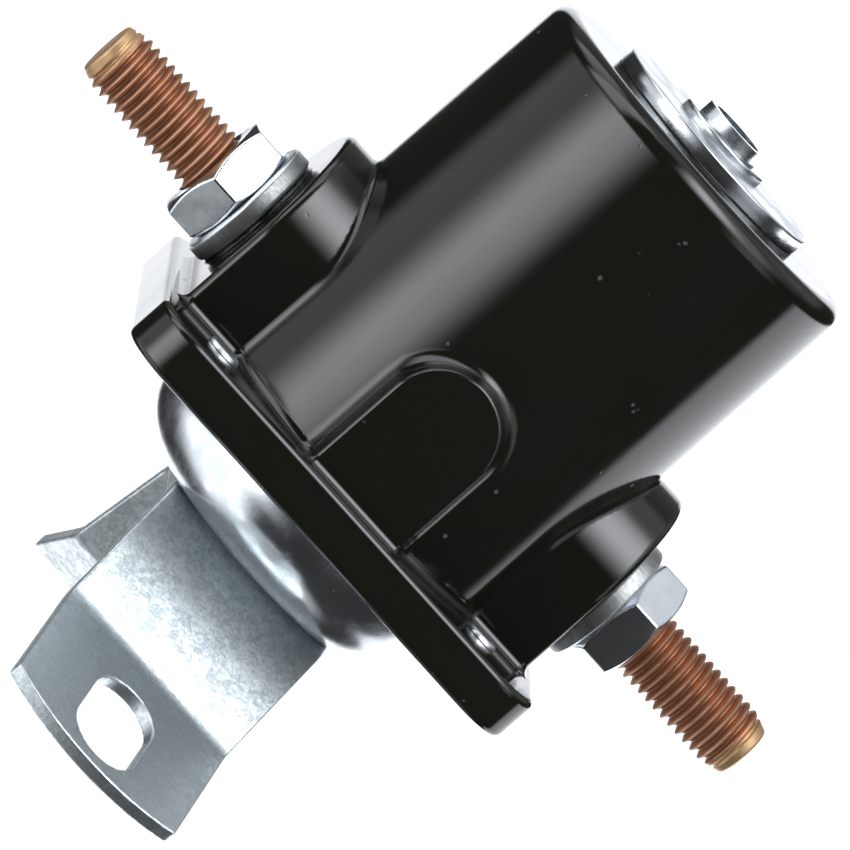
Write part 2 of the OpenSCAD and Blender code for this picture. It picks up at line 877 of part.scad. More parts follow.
// Round wire through a list of points, joined by balls
module wire(points, r) {
    for (k = [0:len(points) - 2]) {
        step = points[k + 1] - points[k];
        length = norm(step);
        translate(points[k])
        rotate([0, acos(step[2] / length), atan2(step[1], step[0])])
        cylinder(h = length, r = r, $fn = 24);
        if (k > 0)
            translate(points[k])
            sphere(r = r * bead_share, $fn = 24);
    }
}

// Lead from the winding past the contact disc down to the cover's bowl
module ground_lead() {
    turn_z = pole_z - lead_drop;
    inner_r = cover_shoulder_r - cover_t;
    across = max(0, ground_y + lead_r - cover_r + cover_shoulder_r);
    end_z = strap_h + cover_shoulder_r - sqrt(inner_r * inner_r - across * across) + flat_gap;
    color(copper)
    wire([
        [0, -lead_y, winding_z],
        [0, -lead_y, turn_z],
        [0, -ground_y, turn_z - lead_slant],
        [0, -ground_y, end_z]
    ], lead_r);
}

// Coil spring made as one round tube of even turns
module coil_spring(z, length, r, wire_r, turns) {
    steps = turn_rings * turns;
    rise = length - 2 * wire_r;
    function wire_ring(k) = [for (side = [0:wire_sides - 1])
        let (a = 360 * k / turn_rings, b = 360 * side / wire_sides, out = r + wire_r * cos(b))
        [out * cos(a), out * sin(a), wire_r + rise * k / steps + wire_r * sin(b)]
    ];
    skin = [for (k = [0:steps - 1], side = [0:wire_sides - 1])
        let (next = (side + 1) % wire_sides, low = wire_sides * k, high = low + wire_sides)
        each [[low + side, low + next, high + next], [low + side, high + next, high + side]]
    ];
    caps = [
        [for (side = [0:wire_sides - 1]) wire_sides - 1 - side],
        [for (side = [0:wire_sides - 1]) wire_sides * steps + side]
    ];
    translate([0, 0, z])
    polyhedron(points = [for (k = [0:steps]) each wire_ring(k)], faces = concat(skin, caps), convexity = 8);
}

module return_spring() {
    color(steel)
    coil_spring(
        return_spring_z + flat_gap / 2,
        return_spring_top_z - return_spring_z - flat_gap,
        return_spring_r,
        return_wire_r,
        return_turns
    );
}

module plunger() {
    color(steel)
    difference() {
        translate([0, 0, plunger_z])
        cylinder(h = plunger_len, r = plunger_r);
        translate([0, 0, plunger_top_z - plunger_bore_depth])
        cylinder(h = plunger_bore_depth + cut, r = spring_bore_r);
        translate([0, 0, plunger_z - cut])
        cylinder(h = stem_grip + cut, r = stem_r);
    }
}

module plunger_stem() {
    color(steel)
    union() {
        translate([0, 0, stem_z])
        cylinder(h = plunger_z + stem_grip - stem_z, r = stem_r);
        translate([0, 0, collar_z])
        cylinder(h = collar_t, r = collar_r);
    }
}

module spring_seat() {
    color(steel)
    ring(spring_seat_z, spring_seat_t, spring_seat_r, stem_r);
}

module stem_clip() {
    color(steel)
    ring(clip_z, clip_t, clip_r, stem_r);
}

module contact_spring() {
    color(steel)
    coil_spring(
        spring_seat_z + spring_seat_t,
        contact_spring_len,
        contact_spring_r,
        contact_wire_r,
        contact_turns
    );
}

module contact_disc() {
    color(copper)
    ring(disc_z, disc_t, disc_r, bush_r + hole_room / 2);
}

// Flanged insulating bush that centres the disc on the stem
module disc_bush() {
    color(nylon)
    difference() {
        union() {
            translate([0, 0, bush_z])
            cylinder(h = bush_flange_t, r = bush_r + bush_flange_w);
            translate([0, 0, bush_z])
            cylinder(h = bush_flange_t + disc_t, r = bush_r);
        }
        translate([0, 0, bush_z - cut])
        cylinder(h = bush_flange_t + disc_t + 2 * cut, r = stem_r + slide_fit);
    }
}

module disc_washer() {
    color(nylon)
    ring(disc_top_z, disc_washer_t, bush_r + disc_washer_w, stem_r + slide_fit);
}

housing();
base_gasket();
base_cover();
mounting_bracket();
flange_rivet(-rivet_x, -rivet_y);  // flange_rivet_fl
flange_rivet(rivet_x, -rivet_y);  // flange_rivet_fr
flange_rivet(-rivet_x, rivet_y);  // flange_rivet_bl
flange_rivet(rivet_x, rivet_y);  // flange_rivet_br
bracket_rivet(-bracket_rivet_x);  // bracket_rivet_l
bracket_rivet(bracket_rivet_x);  // bracket_rivet_r
mirror([1, 0, 0]) power_stud();  // power_stud_l
power_stud();  // power_stud_r
mirror([1, 0, 0]) stud_seat();  // stud_seat_l
stud_seat();  // stud_seat_r
mirror([1, 0, 0]) stud_washer();  // stud_washer_l
stud_washer();  // stud_washer_r
mirror([1, 0, 0]) stud_nut(left_nut_turn);  // stud_nut_l
stud_nut(right_nut_turn);  // stud_nut_r
coil_stud();
coil_seat();
coil_washer();
coil_nut();
top_washer();
core_ring();
core_tube();
magnet_frame();
pole_plate();
coil_bobbin();
coil_winding();
coil_lead();
ground_lead();
return_spring();
plunger();
plunger_stem();
spring_seat();
stem_clip();
contact_spring();
contact_disc();
disc_bush();
disc_washer();
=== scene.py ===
import json
import math

import bmesh
import bpy
import numpy as np
from bpy.props import FloatProperty, FloatVectorProperty, IntProperty, PointerProperty
from bpy.types import Operator, Panel, PropertyGroup
from mathutils import Matrix, Vector

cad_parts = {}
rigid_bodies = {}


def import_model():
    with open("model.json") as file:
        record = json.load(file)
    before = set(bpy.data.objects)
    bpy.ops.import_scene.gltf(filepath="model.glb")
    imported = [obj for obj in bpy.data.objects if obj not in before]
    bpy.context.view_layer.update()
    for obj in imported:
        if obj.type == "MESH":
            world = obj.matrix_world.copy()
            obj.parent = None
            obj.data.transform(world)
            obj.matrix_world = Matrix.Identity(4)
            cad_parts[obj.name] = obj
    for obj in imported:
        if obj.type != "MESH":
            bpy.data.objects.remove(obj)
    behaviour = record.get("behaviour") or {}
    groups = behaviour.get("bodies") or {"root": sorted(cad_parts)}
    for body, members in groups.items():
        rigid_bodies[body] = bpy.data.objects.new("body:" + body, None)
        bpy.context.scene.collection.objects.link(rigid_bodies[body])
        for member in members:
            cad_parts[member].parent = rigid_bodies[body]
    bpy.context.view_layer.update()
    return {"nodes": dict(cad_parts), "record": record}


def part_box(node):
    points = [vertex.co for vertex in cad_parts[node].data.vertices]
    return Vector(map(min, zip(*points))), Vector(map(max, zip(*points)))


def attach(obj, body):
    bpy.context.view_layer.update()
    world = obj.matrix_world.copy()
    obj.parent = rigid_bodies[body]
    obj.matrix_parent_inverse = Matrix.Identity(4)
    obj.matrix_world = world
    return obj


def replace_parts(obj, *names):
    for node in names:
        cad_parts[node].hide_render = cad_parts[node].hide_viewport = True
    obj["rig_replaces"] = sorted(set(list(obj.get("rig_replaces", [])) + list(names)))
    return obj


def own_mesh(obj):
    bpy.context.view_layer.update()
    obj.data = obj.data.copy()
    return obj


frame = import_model()

bl_info = {
    "name": "Starter solenoid relay",
    "version": (1, 0, 0),
    "blender": (4, 5, 0),
    "location": "View3D > Sidebar > Relay",
    "description": "Finished look of a starter solenoid relay, built around its packed solids",
    "category": "Object",
}

MM = 0.001
CASE_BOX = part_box("housing")
RIM_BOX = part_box("base_cover")
BRACKET_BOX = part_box("mounting_bracket")

CASE_BODY = "case"

# Roundings too small to be sizes of their own
EDGE = 0.2 * MM
FINE_EDGE = 0.15 * MM
SHARP_EDGE = 0.05 * MM

# Sampling of the shapes: room left below and above a shape's box, in steps, how far its slope is probed,
# as a share of a step, and the least square of a slope that points are moved by
ROOM_BELOW = 2.3
ROOM_ABOVE = 3
PROBE = 0.05
LEAST_SLOPE = 0.25

# Turned pieces: the angle between the points of a rounding, the angles from which edges stay sharp on
# plain pieces and on threads, the distances in metres below which points merge and edges vanish, and how
# far the faces of a washer's rim may lean
ARC_STEP = math.radians(12)
SHARP_ANGLE = math.radians(35)
THREAD_SHARP_ANGLE = math.radians(60)
MERGED = 2e-7
VANISHED = 1e-7
RIM_LEAN = 0.35

# A thread's depth as a share of its pitch, the flat and the sloping share of half its width, and how far
# the lead at a stud's tip is turned down, as a share of the depth
THREAD_DEPTH = 0.61
CREST_FLAT = 0.1
FLANK_WIDTH = 0.7
LEAD_DEPTH = 1.15

# Bevel of the studs' square heads, slope of the nuts' bevels, depth of the cone into a nut's bore, and
# rounding of its faces' edges
HEAD_BEVEL = 0.3 * MM
NUT_BEVEL_SLOPE = math.radians(30)
NUT_CONE = 0.45 * MM
NUT_FACE_EDGE = 0.08 * MM

# Hollow blend between the cover's bowl and its rim plate
COVER_COVE = 0.6 * MM

# Radii of a flange rivet's head where it leaves the flange and at its crown, as shares of the full one,
# the share of its height that is domed, and the thickness and doming of the bracket rivets' heads
RIVET_NECK = 0.9
RIVET_CROWN = 0.8
RIVET_DOME = 0.25
BRACKET_HEAD_T = 0.8 * MM
BRACKET_CROWN = 0.5 * MM


def size(name, description, value):
    """A length property, its default given in millimetres."""
    return FloatProperty(name=name, description=description, default=value * MM, unit="LENGTH", precision=5)


def angle(name, description, value):
    """An angle property, its default given in degrees."""
    return FloatProperty(name=name, description=description, default=math.radians(value), subtype="ANGLE")


def colour(name, description, value):
    """A colour property."""
    return FloatVectorProperty(
        name=name, description=description, default=value, size=3, subtype="COLOR", min=0, max=1
    )


class CaseSizes(PropertyGroup):
    """Sizes of the moulded case"""

    body_r: size("Body radius", "Radius of the round body at the flange", 22.1)
    body_top_r: size("Top radius", "Radius of the round body at its top", 21.75)
    body_edge_r: size("Top edge", "Rounding of the body's top edge", 2.2)
    flange_t: size("Flange thickness", "Thickness of the flange", 5.4)
    flange_end_w: size("Flange end", "Width of the flange's flat ends", 41)
    flange_corner_r: size("Flange corner", "Rounding of the flange's corners", 6)
    flange_edge_r: size("Flange edge", "Rounding of the flange's upper and lower edges", 0.8)
    flange_cove_r: size("Flange cove", "Hollow blend between flange and body", 1)
    boss_r: size("Boss radius", "Radius of the two terminal bosses", 12.75)
    boss_reach: size("Boss reach", "Distance from the axis to a boss's face", 26)
    boss_edge_r: size("Boss edge", "Rounding of a boss's face edge", 0.9)
    boss_cove_r: size("Boss cove", "Hollow blend between boss and body", 0.6)
    land_r: size("Land radius", "Radius of the raised land under a stud washer", 7.2)
    land_t: size("Land height", "Height of the raised land", 0.5)
    stud_h: size("Stud height", "Height of the stud axis above the flange's underside", 15.5)
    pad_r: size("Pad radius", "Half width of the pads at the front and back", 6.5)
    pad_reach: size("Pad reach", "Distance from the axis to a pad's face", 23.7)
    pad_h: size("Pad height", "Height of a pad's arc centre above the flange's underside", 17.1)
    pad_edge_r: size("Pad edge", "Rounding of a pad's face edge", 0.5)
    pad_cove_r: size("Pad cove", "Hollow blend around a pad", 1.6)
    room_r: size("Contact chamber", "Radius of the contact chamber", 18.6)
    room_h: size("Chamber height", "Height of the contact chamber", 24)
    coil_room_r: size("Coil chamber", "Radius of the coil chamber", 17)
    top_wall: size("Top wall", "Thickness of the top wall", 4)
    seat_pad_t: size("Inner pad", "Height of the flat inner pads behind the stud heads", 1.4)
    seat_pad_w: size("Inner pad width", "Width of the flat inner pads", 16)
    gasket_r: size("Gasket groove", "Outer radius of the gasket's groove", 21.3)
    gasket_t: size("Groove depth", "Depth of the gasket's groove above the rim plate", 1)
    tube_r: size("Tube hole", "Radius of the tube's hole in the top wall", 4.15)


class MetalSizes(PropertyGroup):
    """Sizes of the studs, nuts, cover and bracket"""

    stud_r: size("Stud radius", "Radius of a power stud over its thread", 3.97)
    stud_pitch: size("Stud pitch", "Distance from crest to crest of a power stud's thread", 1.154)
    stud_tip: size("Stud tip", "Length of a power stud's lead, where its thread runs out", 2.6)
    coil_stud_r: size("Coil stud radius", "Radius of the coil stud over its thread", 2.41)
    coil_stud_pitch: size("Coil stud pitch", "Distance from crest to crest of the coil stud's thread", 0.8)
    coil_stud_tip: size("Coil stud tip", "Length of the coil stud's lead", 1.2)
    tip_edge_r: size("Tip edge", "Rounding of a stud's end", 0.3)
    nut_af: size("Nut width", "Width of a jam nut across its flats", 12.7)
    left_nut_turn: angle("Left nut turn", "Turn of the left nut about its stud", 30)
    right_nut_turn: angle("Right nut turn", "Turn of the right nut about its stud", 7)
    coil_nut_af: size("Coil nut width", "Width of the coil nut across its flats", 9.5)
    nut_bevel: size("Nut bevel", "Depth of a nut's bevel into its flats", 0.3)
    nut_edge_r: size("Nut edge", "Rounding of a nut's edges", 0.16)
    hole_room: size("Hole room", "Radial room of a bolt in a plain hole", 0.1)
    cover_r: size("Cover radius", "Radius of the base cover's bowl", 20.5)
    cover_depth: size("Cover depth", "Depth of the bowl below the flange", 8.4)
    cover_shoulder_r: size("Cover shoulder", "Rounding of the bowl's shoulder", 8)
    cover_t: size("Cover sheet", "Sheet thickness of the cover", 0.9)
    rim_corner: size("Rim corner", "Cut across a corner of the cover's rim plate", 1.7)
    rivet_x: size("Rivet X", "Distance of the flange rivets from the axis along the studs", 19.7)
    rivet_y: size("Rivet Y", "Distance of the flange rivets from the axis to the front", 17)
    rivet_hole_r: size("Rivet hole", "Radius of a rivet's hole", 1.6)
    bracket_rivet_x: size("Bracket rivet X", "Distance of the bracket's rivets from the axis", 6)
    strap_w: size("Strap width", "Width of the strap", 23.4)
    strap_t: size("Strap thickness", "Thickness of the strap", 1.6)
    strap_flat: size("Strap flat", "Distance from the axis to the strap's first bend", 5.37)
    leg_len: size("Leg length", "Length of a leg between its bends", 13.82)
    leg_slope: angle("Leg slope", "Slope of the legs below the horizontal", 55)
    foot_slope: angle("Foot slope", "Slope of the feet below the horizontal", 20)
    foot_len: size("Foot length", "Length of a foot from its bend to its free edge", 20.4)
    foot_edge_r: size("Foot edge", "Radius of a foot's curved free edge", 26.5)
    bend_r: size("Bend radius", "Rounding of the bends at the strap's middle line", 3.6)
    slot_w: size("Slot width", "Width of a foot's slot", 8.1)
    slot_len: size("Slot length", "Length of a foot's slot", 14.3)
    slot_land: size("Slot land", "Strap left between a slot and the free edge", 1.9)
    sheared_r: size("Sheared edge", "Rounding of the strap's sheared edges", 0.22)
    tube_r: size("Tube radius", "Radius of the core's tube", 4.05)


class MeshSettings(PropertyGroup):
    """Fineness of the meshes"""

    case_step: size("Case step", "Distance between the case's sample points", 0.34)
    sheet_step: size("Sheet step", "Distance between the sheet pieces' sample points", 0.26)
    nut_step: size("Nut step", "Distance between the nuts' sample points", 0.17)
    case_kept: FloatProperty(
        name="Case faces", description="Share of the case's sampled faces that is kept", default=0.3,
        subtype="FACTOR", min=0, max=1,
    )
    sheet_kept: FloatProperty(
        name="Sheet faces", description="Share of the other sampled faces that is kept", default=0.35,
        subtype="FACTOR", min=0, max=1,
    )
    turned_sides: IntProperty(name="Turned sides", description="Sides of a turned piece", default=160)
    thread_sides: IntProperty(name="Thread sides", description="Steps in a turn of a thread", default=72)
    thread_rows: IntProperty(name="Thread rows", description="Rows from crest to crest", default=12)


class Finishes(PropertyGroup):
    """Colours of the finishes"""

    phenolic: colour("Phenolic", "Moulded case", (0.0068, 0.0071, 0.0048))
    specks: colour("Specks", "Pits and specks on the case", (0.13, 0.13, 0.12))
    zinc: colour("Bright zinc", "Cover, nuts and washers", (0.81, 0.84, 0.86))
    zinc_dull: colour("Dull zinc", "Dull patches of the bright zinc", (0.64, 0.68, 0.72))
    sheared: colour("Sheared zinc", "Rough rims of the washers", (0.27, 0.28, 0.28))
    sheared_bright: colour("Sheared zinc lines", "Bright lines of the washers' rims", (0.43, 0.44, 0.43))
    strap: colour("Strap zinc", "Plated strap", (0.76, 0.81, 0.83))
    strap_dark: colour("Strap grain", "Dark grains of the plated strap", (0.50, 0.56, 0.58))
    copper: colour("Copper", "Flanks of the copper threads", (0.50, 0.255, 0.145))
    copper_bright: colour("Copper crests", "Crests of the copper threads", (0.74, 0.49, 0.35))
    # Painted shade: the darker colour laid into the roots of the copper threads
    copper_root_shade: colour("Copper roots", "Roots of the copper threads", (0.33, 0.15, 0.085))
    copper_tip: colour("Copper tips", "Smooth tips of the copper studs", (0.58, 0.37, 0.20))
    fibre: colour("Fibre", "Vulcanised fibre", (0.30, 0.12, 0.07))
    fibre_dark: colour("Fibre streaks", "Dark streaks of the fibre", (0.16, 0.06, 0.035))
    nylon: colour("Nylon", "Moulded nylon", (0.80, 0.77, 0.66))
    nylon_dark: colour("Nylon shade", "Darker clouds of the nylon", (0.68, 0.64, 0.52))
    steel: colour("Steel", "Turned soft steel", (0.56, 0.57, 0.58))
    steel_dark: colour("Steel stain", "Stains on the soft steel", (0.36, 0.35, 0.34))
    wire: colour("Wire", "Enamelled wire", (0.62, 0.22, 0.09))
    # Painted shade in the gaps between the wire's turns; the enamelled lead also uses this colour as its
    # dull tone
    wire_gap_shade_and_dull: colour("Wire gaps", "Gaps between the turns of wire", (0.22, 0.07, 0.03))


class StudioSettings(PropertyGroup):
    """Camera and light"""

    lens: FloatProperty(name="Lens", description="Focal length in millimetres", default=451.05)
    sensor: FloatProperty(name="Sensor", description="Sensor width in millimetres", default=36)
    distance: size("Distance", "Distance from the camera to the aim point", 1100)
    azimuth: angle("Azimuth", "Turn of the view from the front, to the right if positive", -7.6)
    elevation: angle("Elevation", "Height of the camera above the horizontal", 6.8)
    roll: angle("Roll", "Turn of the picture about the line of sight", -48.833)
    aim_h: size("Aim height", "Height of the aim point above the floor", 51.1)
    aim_right: size("Aim right", "Shift of the aim point to the picture's right", -3.503)
    aim_up: size("Aim up", "Shift of the aim point to the picture's top", -5.372)
    floor_r: size("Floor radius", "Radius of the floor", 600)
    tint: colour("Tint", "Colour of the studio's light", (0.93, 0.96, 1.0))


def settings(group):
    """The property group of that name."""
    return getattr(bpy.context.scene, "relay_" + group)


# Shapes as distance functions


def cove(a, b, r):
    """Two shapes joined, with a hollow fillet of radius r between them."""
    return np.maximum(r, np.minimum(a, b)) - np.hypot(np.maximum(r - a, 0), np.maximum(r - b, 0))


def common(a, b, r):
    """What two shapes share, with the edge between them rounded to radius r."""
    return np.minimum(-r, np.maximum(a, b)) + np.hypot(np.maximum(r + a, 0), np.maximum(r + b, 0))


def layer(along, middle, thickness):
    """Flat layer across a direction."""
    return np.abs(along - middle) - thickness / 2


def tombstone(across, up, r, centre):
    """Round topped outline that runs on downwards."""
    return np.where(up > centre, np.hypot(across, up - centre), np.abs(across)) - r


def stadium(along, across, long, wide):
    """Outline of a slot with round ends."""
    straight = (long - wide) / 2
    return np.hypot(np.maximum(np.abs(along) - straight, 0), across) - wide / 2


def slope_at(shape, points, step):
    """A distance function's value and slope at some points."""
    reach = step * PROBE
    x, y, z = points.T
    slope = np.stack([
        shape(x + reach, y, z) - shape(x - reach, y, z),
        shape(x, y + reach, z) - shape(x, y - reach, z),
        shape(x, y, z + reach) - shape(x, y, z - reach),
    ], axis=1) / (2 * reach)
    return shape(x, y, z), slope


def cell_points(field, mixed):
    """One point in each mixed cell, in cells: the mean of where its edges cross the surface."""
    corners = [(i, j, k) for i in (0, 1) for j in (0, 1) for k in (0, 1)]
    nx, ny, nz = field.shape
    heights = [
        field[i:nx - 1 + i, j:ny - 1 + j, k:nz - 1 + k][mixed] for i, j, k in corners
    ]
    total = np.zeros((len(heights[0]), 3))
    hits = np.zeros(len(heights[0]))
    for a in range(8):
        for b in range(a + 1, 8):
            step = np.subtract(corners[b], corners[a])
            if np.abs(step).sum() != 1:
                continue
            crossed = (heights[a] < 0) != (heights[b] < 0)
            share = np.where(crossed, heights[a] / np.where(crossed, heights[a] - heights[b], 1), 0)
            total += crossed[:, None] * (np.array(corners[a]) + share[:, None] * step)
            hits += crossed
    return np.argwhere(mixed) + total / hits[:, None]


def cell_faces(inside, index):
    """Quads between the cells around each crossed grid edge, all facing outwards."""
    quads = []
    shape = inside.shape
    for axis in range(3):
        u, v = (axis + 1) % 3, (axis + 2) % 3
        near = [slice(1, n - 1) for n in shape]
        near[axis] = slice(0, shape[axis] - 1)
        far = list(near)
        far[axis] = slice(1, shape[axis])
        here, there = inside[tuple(near)], inside[tuple(far)]
        base = np.argwhere(here != there)
        leaving = here[here != there]
        base[:, u] += 1
        base[:, v] += 1
        ring = []
        for du, dv in ((1, 1), (0, 1), (0, 0), (1, 0)):
            cell = base.copy()
            cell[:, u] -= du
            cell[:, v] -= dv
            ring.append(index[tuple(cell.T)])
        ring = np.stack(ring, axis=1)
        ring[~leaving] = ring[~leaving][:, ::-1]
        quads.append(ring)
    return np.concatenate(quads)


def surface(shape, low, high, step):
    """Points and quads of a distance function's surface inside a box."""
    axes = [np.arange(a - ROOM_BELOW * step, b + ROOM_ABOVE * step, step) for a, b in zip(low, high)]
    x, y, z = np.meshgrid(*axes, indexing="ij", sparse=True)
    field = shape(x, y, z) + 0 * (x + y + z)
    inside = field < 0
    nx, ny, nz = field.shape
    count = sum(
        inside[i:nx - 1 + i, j:ny - 1 + j, k:nz - 1 + k].astype(np.int8)
        for i in (0, 1) for j in (0, 1) for k in (0, 1)
    )
    mixed = (count > 0) & (count < 8)
    points = np.array([axis[0] for axis in axes]) + step * cell_points(field, mixed)
    index = np.full(mixed.shape, -1)
    index[mixed] = np.arange(len(points))
    for _ in range(3):
        value, slope = slope_at(shape, points, step)
        steepness = np.maximum((slope ** 2).sum(axis=1), LEAST_SLOPE)
        points -= np.clip(slope * (value / steepness)[:, None], -step / 2, step / 2)
    return points, cell_faces(inside, index)


# Meshes and objects


def new_piece(name, points, faces, slot):
    """A smooth mesh object that rides on the case."""
    mesh = bpy.data.meshes.new(name)
    faces = np.asarray(faces)
    sides = faces.shape[1]
    mesh.vertices.add(len(points))
    mesh.vertices.foreach_set("co", np.asarray(points, dtype=np.float32).ravel())
    mesh.loops.add(faces.size)
    mesh.loops.foreach_set("vertex_index", faces.astype(np.int32).ravel())
    mesh.polygons.add(len(faces))
    mesh.polygons.foreach_set("loop_start", np.arange(0, faces.size, sides, dtype=np.int32))
    mesh.update(calc_edges=True)
    mesh.validate()
    mesh.shade_smooth()
    piece = bpy.data.objects.new(name, mesh)
    bpy.context.scene.collection.objects.link(piece)
    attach(piece, CASE_BODY)
    piece.data.materials.append(finish(slot))
    return piece


def thin_out(piece, kept):
    """Keep a share of a piece's faces, fewest where it is flat."""
    thin = piece.modifiers.new("Thin", "DECIMATE")
    thin.ratio = kept
    graph = bpy.context.evaluated_depsgraph_get()
    done = bpy.data.meshes.new_from_object(piece.evaluated_get(graph))
    old = piece.data
    piece.modifiers.clear()
    piece.data = done
    bpy.data.meshes.remove(old)


def shaped(name, shape, node, step, kept, slot):
    """A piece from a distance function, in place of a node, with the function's own normals."""
    low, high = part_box(node)
    points, quads = surface(shape, low, high, step)
    piece = new_piece(name, points, quads, slot)
    thin_out(piece, kept)
    mesh = piece.data
    places = np.empty(len(mesh.vertices) * 3)
    mesh.vertices.foreach_get("co", places)
    normals = slope_at(shape, places.reshape(-1, 3), step)[1]
    normals /= np.maximum(np.linalg.norm(normals, axis=1), 1e-9)[:, None]
    mesh.normals_split_custom_set_from_vertices(normals.tolist())
    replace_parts(piece, node)
    return piece


def rounded(corners):
    """Outline through corners (a, b, r), each rounded to its own radius."""
    outline = []
    for i, (a, b, r) in enumerate(corners):
        here = Vector((a, b))
        if not r:
            outline.append((a, b))
            continue
        back = (Vector(corners[i - 1][:2]) - here).normalized()
        on = (Vector(corners[(i + 1) % len(corners)][:2]) - here).normalized()
        half = back.angle(on) / 2
        centre = here + (back + on).normalized() * (r / math.sin(half))
        start = here + back * (r / math.tan(half)) - centre
        turn = math.copysign(math.pi - 2 * half, on.x * back.y - on.y * back.x)
        steps = max(3, round(abs(turn) / ARC_STEP))
        for k in range(steps + 1):
            cos, sin = math.cos(turn * k / steps), math.sin(turn * k / steps)
            outline.append((
                centre.x + start.x * cos - start.y * sin, centre.y + start.x * sin + start.y * cos
            ))
    return outline


def placed(axis, centre, along, u, v):
    """Points at a distance along an axis, with two offsets across it."""
    if axis == "X":
        return np.stack([along, centre[1] + u, centre[2] + v], axis=-1)
    if axis == "Y":
        return np.stack([centre[0] + v, along, centre[2] + u], axis=-1)
    return np.stack([centre[0] + u, centre[1] + v, along], axis=-1)


def turned(name, corners, axis, centre, node, slot):
    """A piece turned about an axis, in place of a node; its corners are (radius, place along, rounding)."""
    sides = settings("mesh").turned_sides
    profile = np.array(rounded(corners))
    turn = 2 * math.pi * np.arange(sides)[:, None] / sides
    r, along = profile[:, 0][None], profile[:, 1][None] + 0 * turn
    points = placed(axis, centre, along, r * np.cos(turn), r * np.sin(turn)).reshape(-1, 3)
    n = len(profile)
    k, i = np.meshgrid(np.arange(sides), np.arange(n), indexing="ij")
    k2, i2 = (k + 1) % sides, (i + 1) % n
    faces = np.stack([k * n + i, k * n + i2, k2 * n + i2, k2 * n + i], axis=-1).reshape(-1, 4)
    piece = new_piece(name, points, faces, slot)
    clean(piece, SHARP_ANGLE)
    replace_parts(piece, node)
    return piece


def clean(piece, sharp):
    """Merge doubled points, close open ends, turn faces outwards and keep edges sharper than an angle."""
    mesh = bmesh.new()
    mesh.from_mesh(piece.data)
    bmesh.ops.remove_doubles(mesh, verts=mesh.verts, dist=MERGED)
    bmesh.ops.dissolve_degenerate(mesh, dist=VANISHED, edges=mesh.edges)
    open_edges = [edge for edge in mesh.edges if edge.is_boundary]
    if open_edges:
        bmesh.ops.holes_fill(mesh, edges=open_edges, sides=0)
    bmesh.ops.recalc_face_normals(mesh, faces=mesh.faces)
    for edge in mesh.edges:
        edge.smooth = not (len(edge.link_faces) == 2 and edge.calc_face_angle(0) > sharp)
    for face in mesh.faces:
        face.smooth = True
    mesh.to_mesh(piece.data)
    mesh.free()


def threaded(name, axis, side, centre, start, end, tip, crest, pitch, slot):
    """A stud along one side of an axis, with a right-handed helical thread that runs out at its tip."""
    fineness = settings("mesh")
    sides, rows = fineness.thread_sides, fineness.thread_rows
    depth = THREAD_DEPTH * pitch
    steps = (int((end - start) / pitch) + 2) * sides
    k, j = np.meshgrid(np.arange(steps + 1), np.arange(rows), indexing="ij")
    ramp = np.abs(2 * j / rows - 1)
    along = start + pitch * (k / sides + j / rows - 1)
    r = crest - depth * np.clip((ramp - CREST_FLAT) / FLANK_WIDTH, 0, 1)
    along = np.clip(along, start, end)
    r = np.minimum(r, crest - LEAD_DEPTH * depth * np.clip((along - end + tip) / tip, 0, 1))
    edge = settings("metal").tip_edge_r
    r -= edge - np.sqrt(edge ** 2 - np.clip(along - end + edge, 0, edge) ** 2)
    r = np.minimum(r, crest - depth + (along - start))
    turn = side * 2 * math.pi * k / sides
    points = placed(axis, centre, side * along, r * np.cos(turn), r * np.sin(turn)).reshape(-1, 3)
    k, j = k[:-1], j[:-1]
    next_k = np.where(j < rows - 1, k, k + sides)
    next_j = (j + 1) % rows
    faces = np.stack([
        k * rows + j, (k + 1) * rows + j, (next_k + 1) * rows + next_j, next_k * rows + next_j
    ], axis=-1)
    faces = faces[(next_k + 1) <= steps]
    piece = new_piece(name, points, faces, slot)
    clean(piece, THREAD_SHARP_ANGLE)
    return piece


def add_head(piece, low, high):
    """Add a square head with bevelled edges to a stud."""
    mesh = bmesh.new()
    mesh.from_mesh(piece.data)
    corners = bmesh.ops.create_cube(mesh, size=1)["verts"]
    for vert in corners:
        vert.co = Vector([low[i] + (vert.co[i] + 0.5) * (high[i] - low[i]) for i in range(3)])
    edges = {edge for vert in corners for edge in vert.link_edges}
    bmesh.ops.bevel(mesh, geom=list(edges), offset=HEAD_BEVEL, segments=2, affect="EDGES")
    mesh.to_mesh(piece.data)
    mesh.free()


# Material nodes


def opaque(value):
    """A colour with its alpha, or a socket as it is."""
    if isinstance(value, bpy.types.NodeSocket):
        return value
    return (*value, 1)


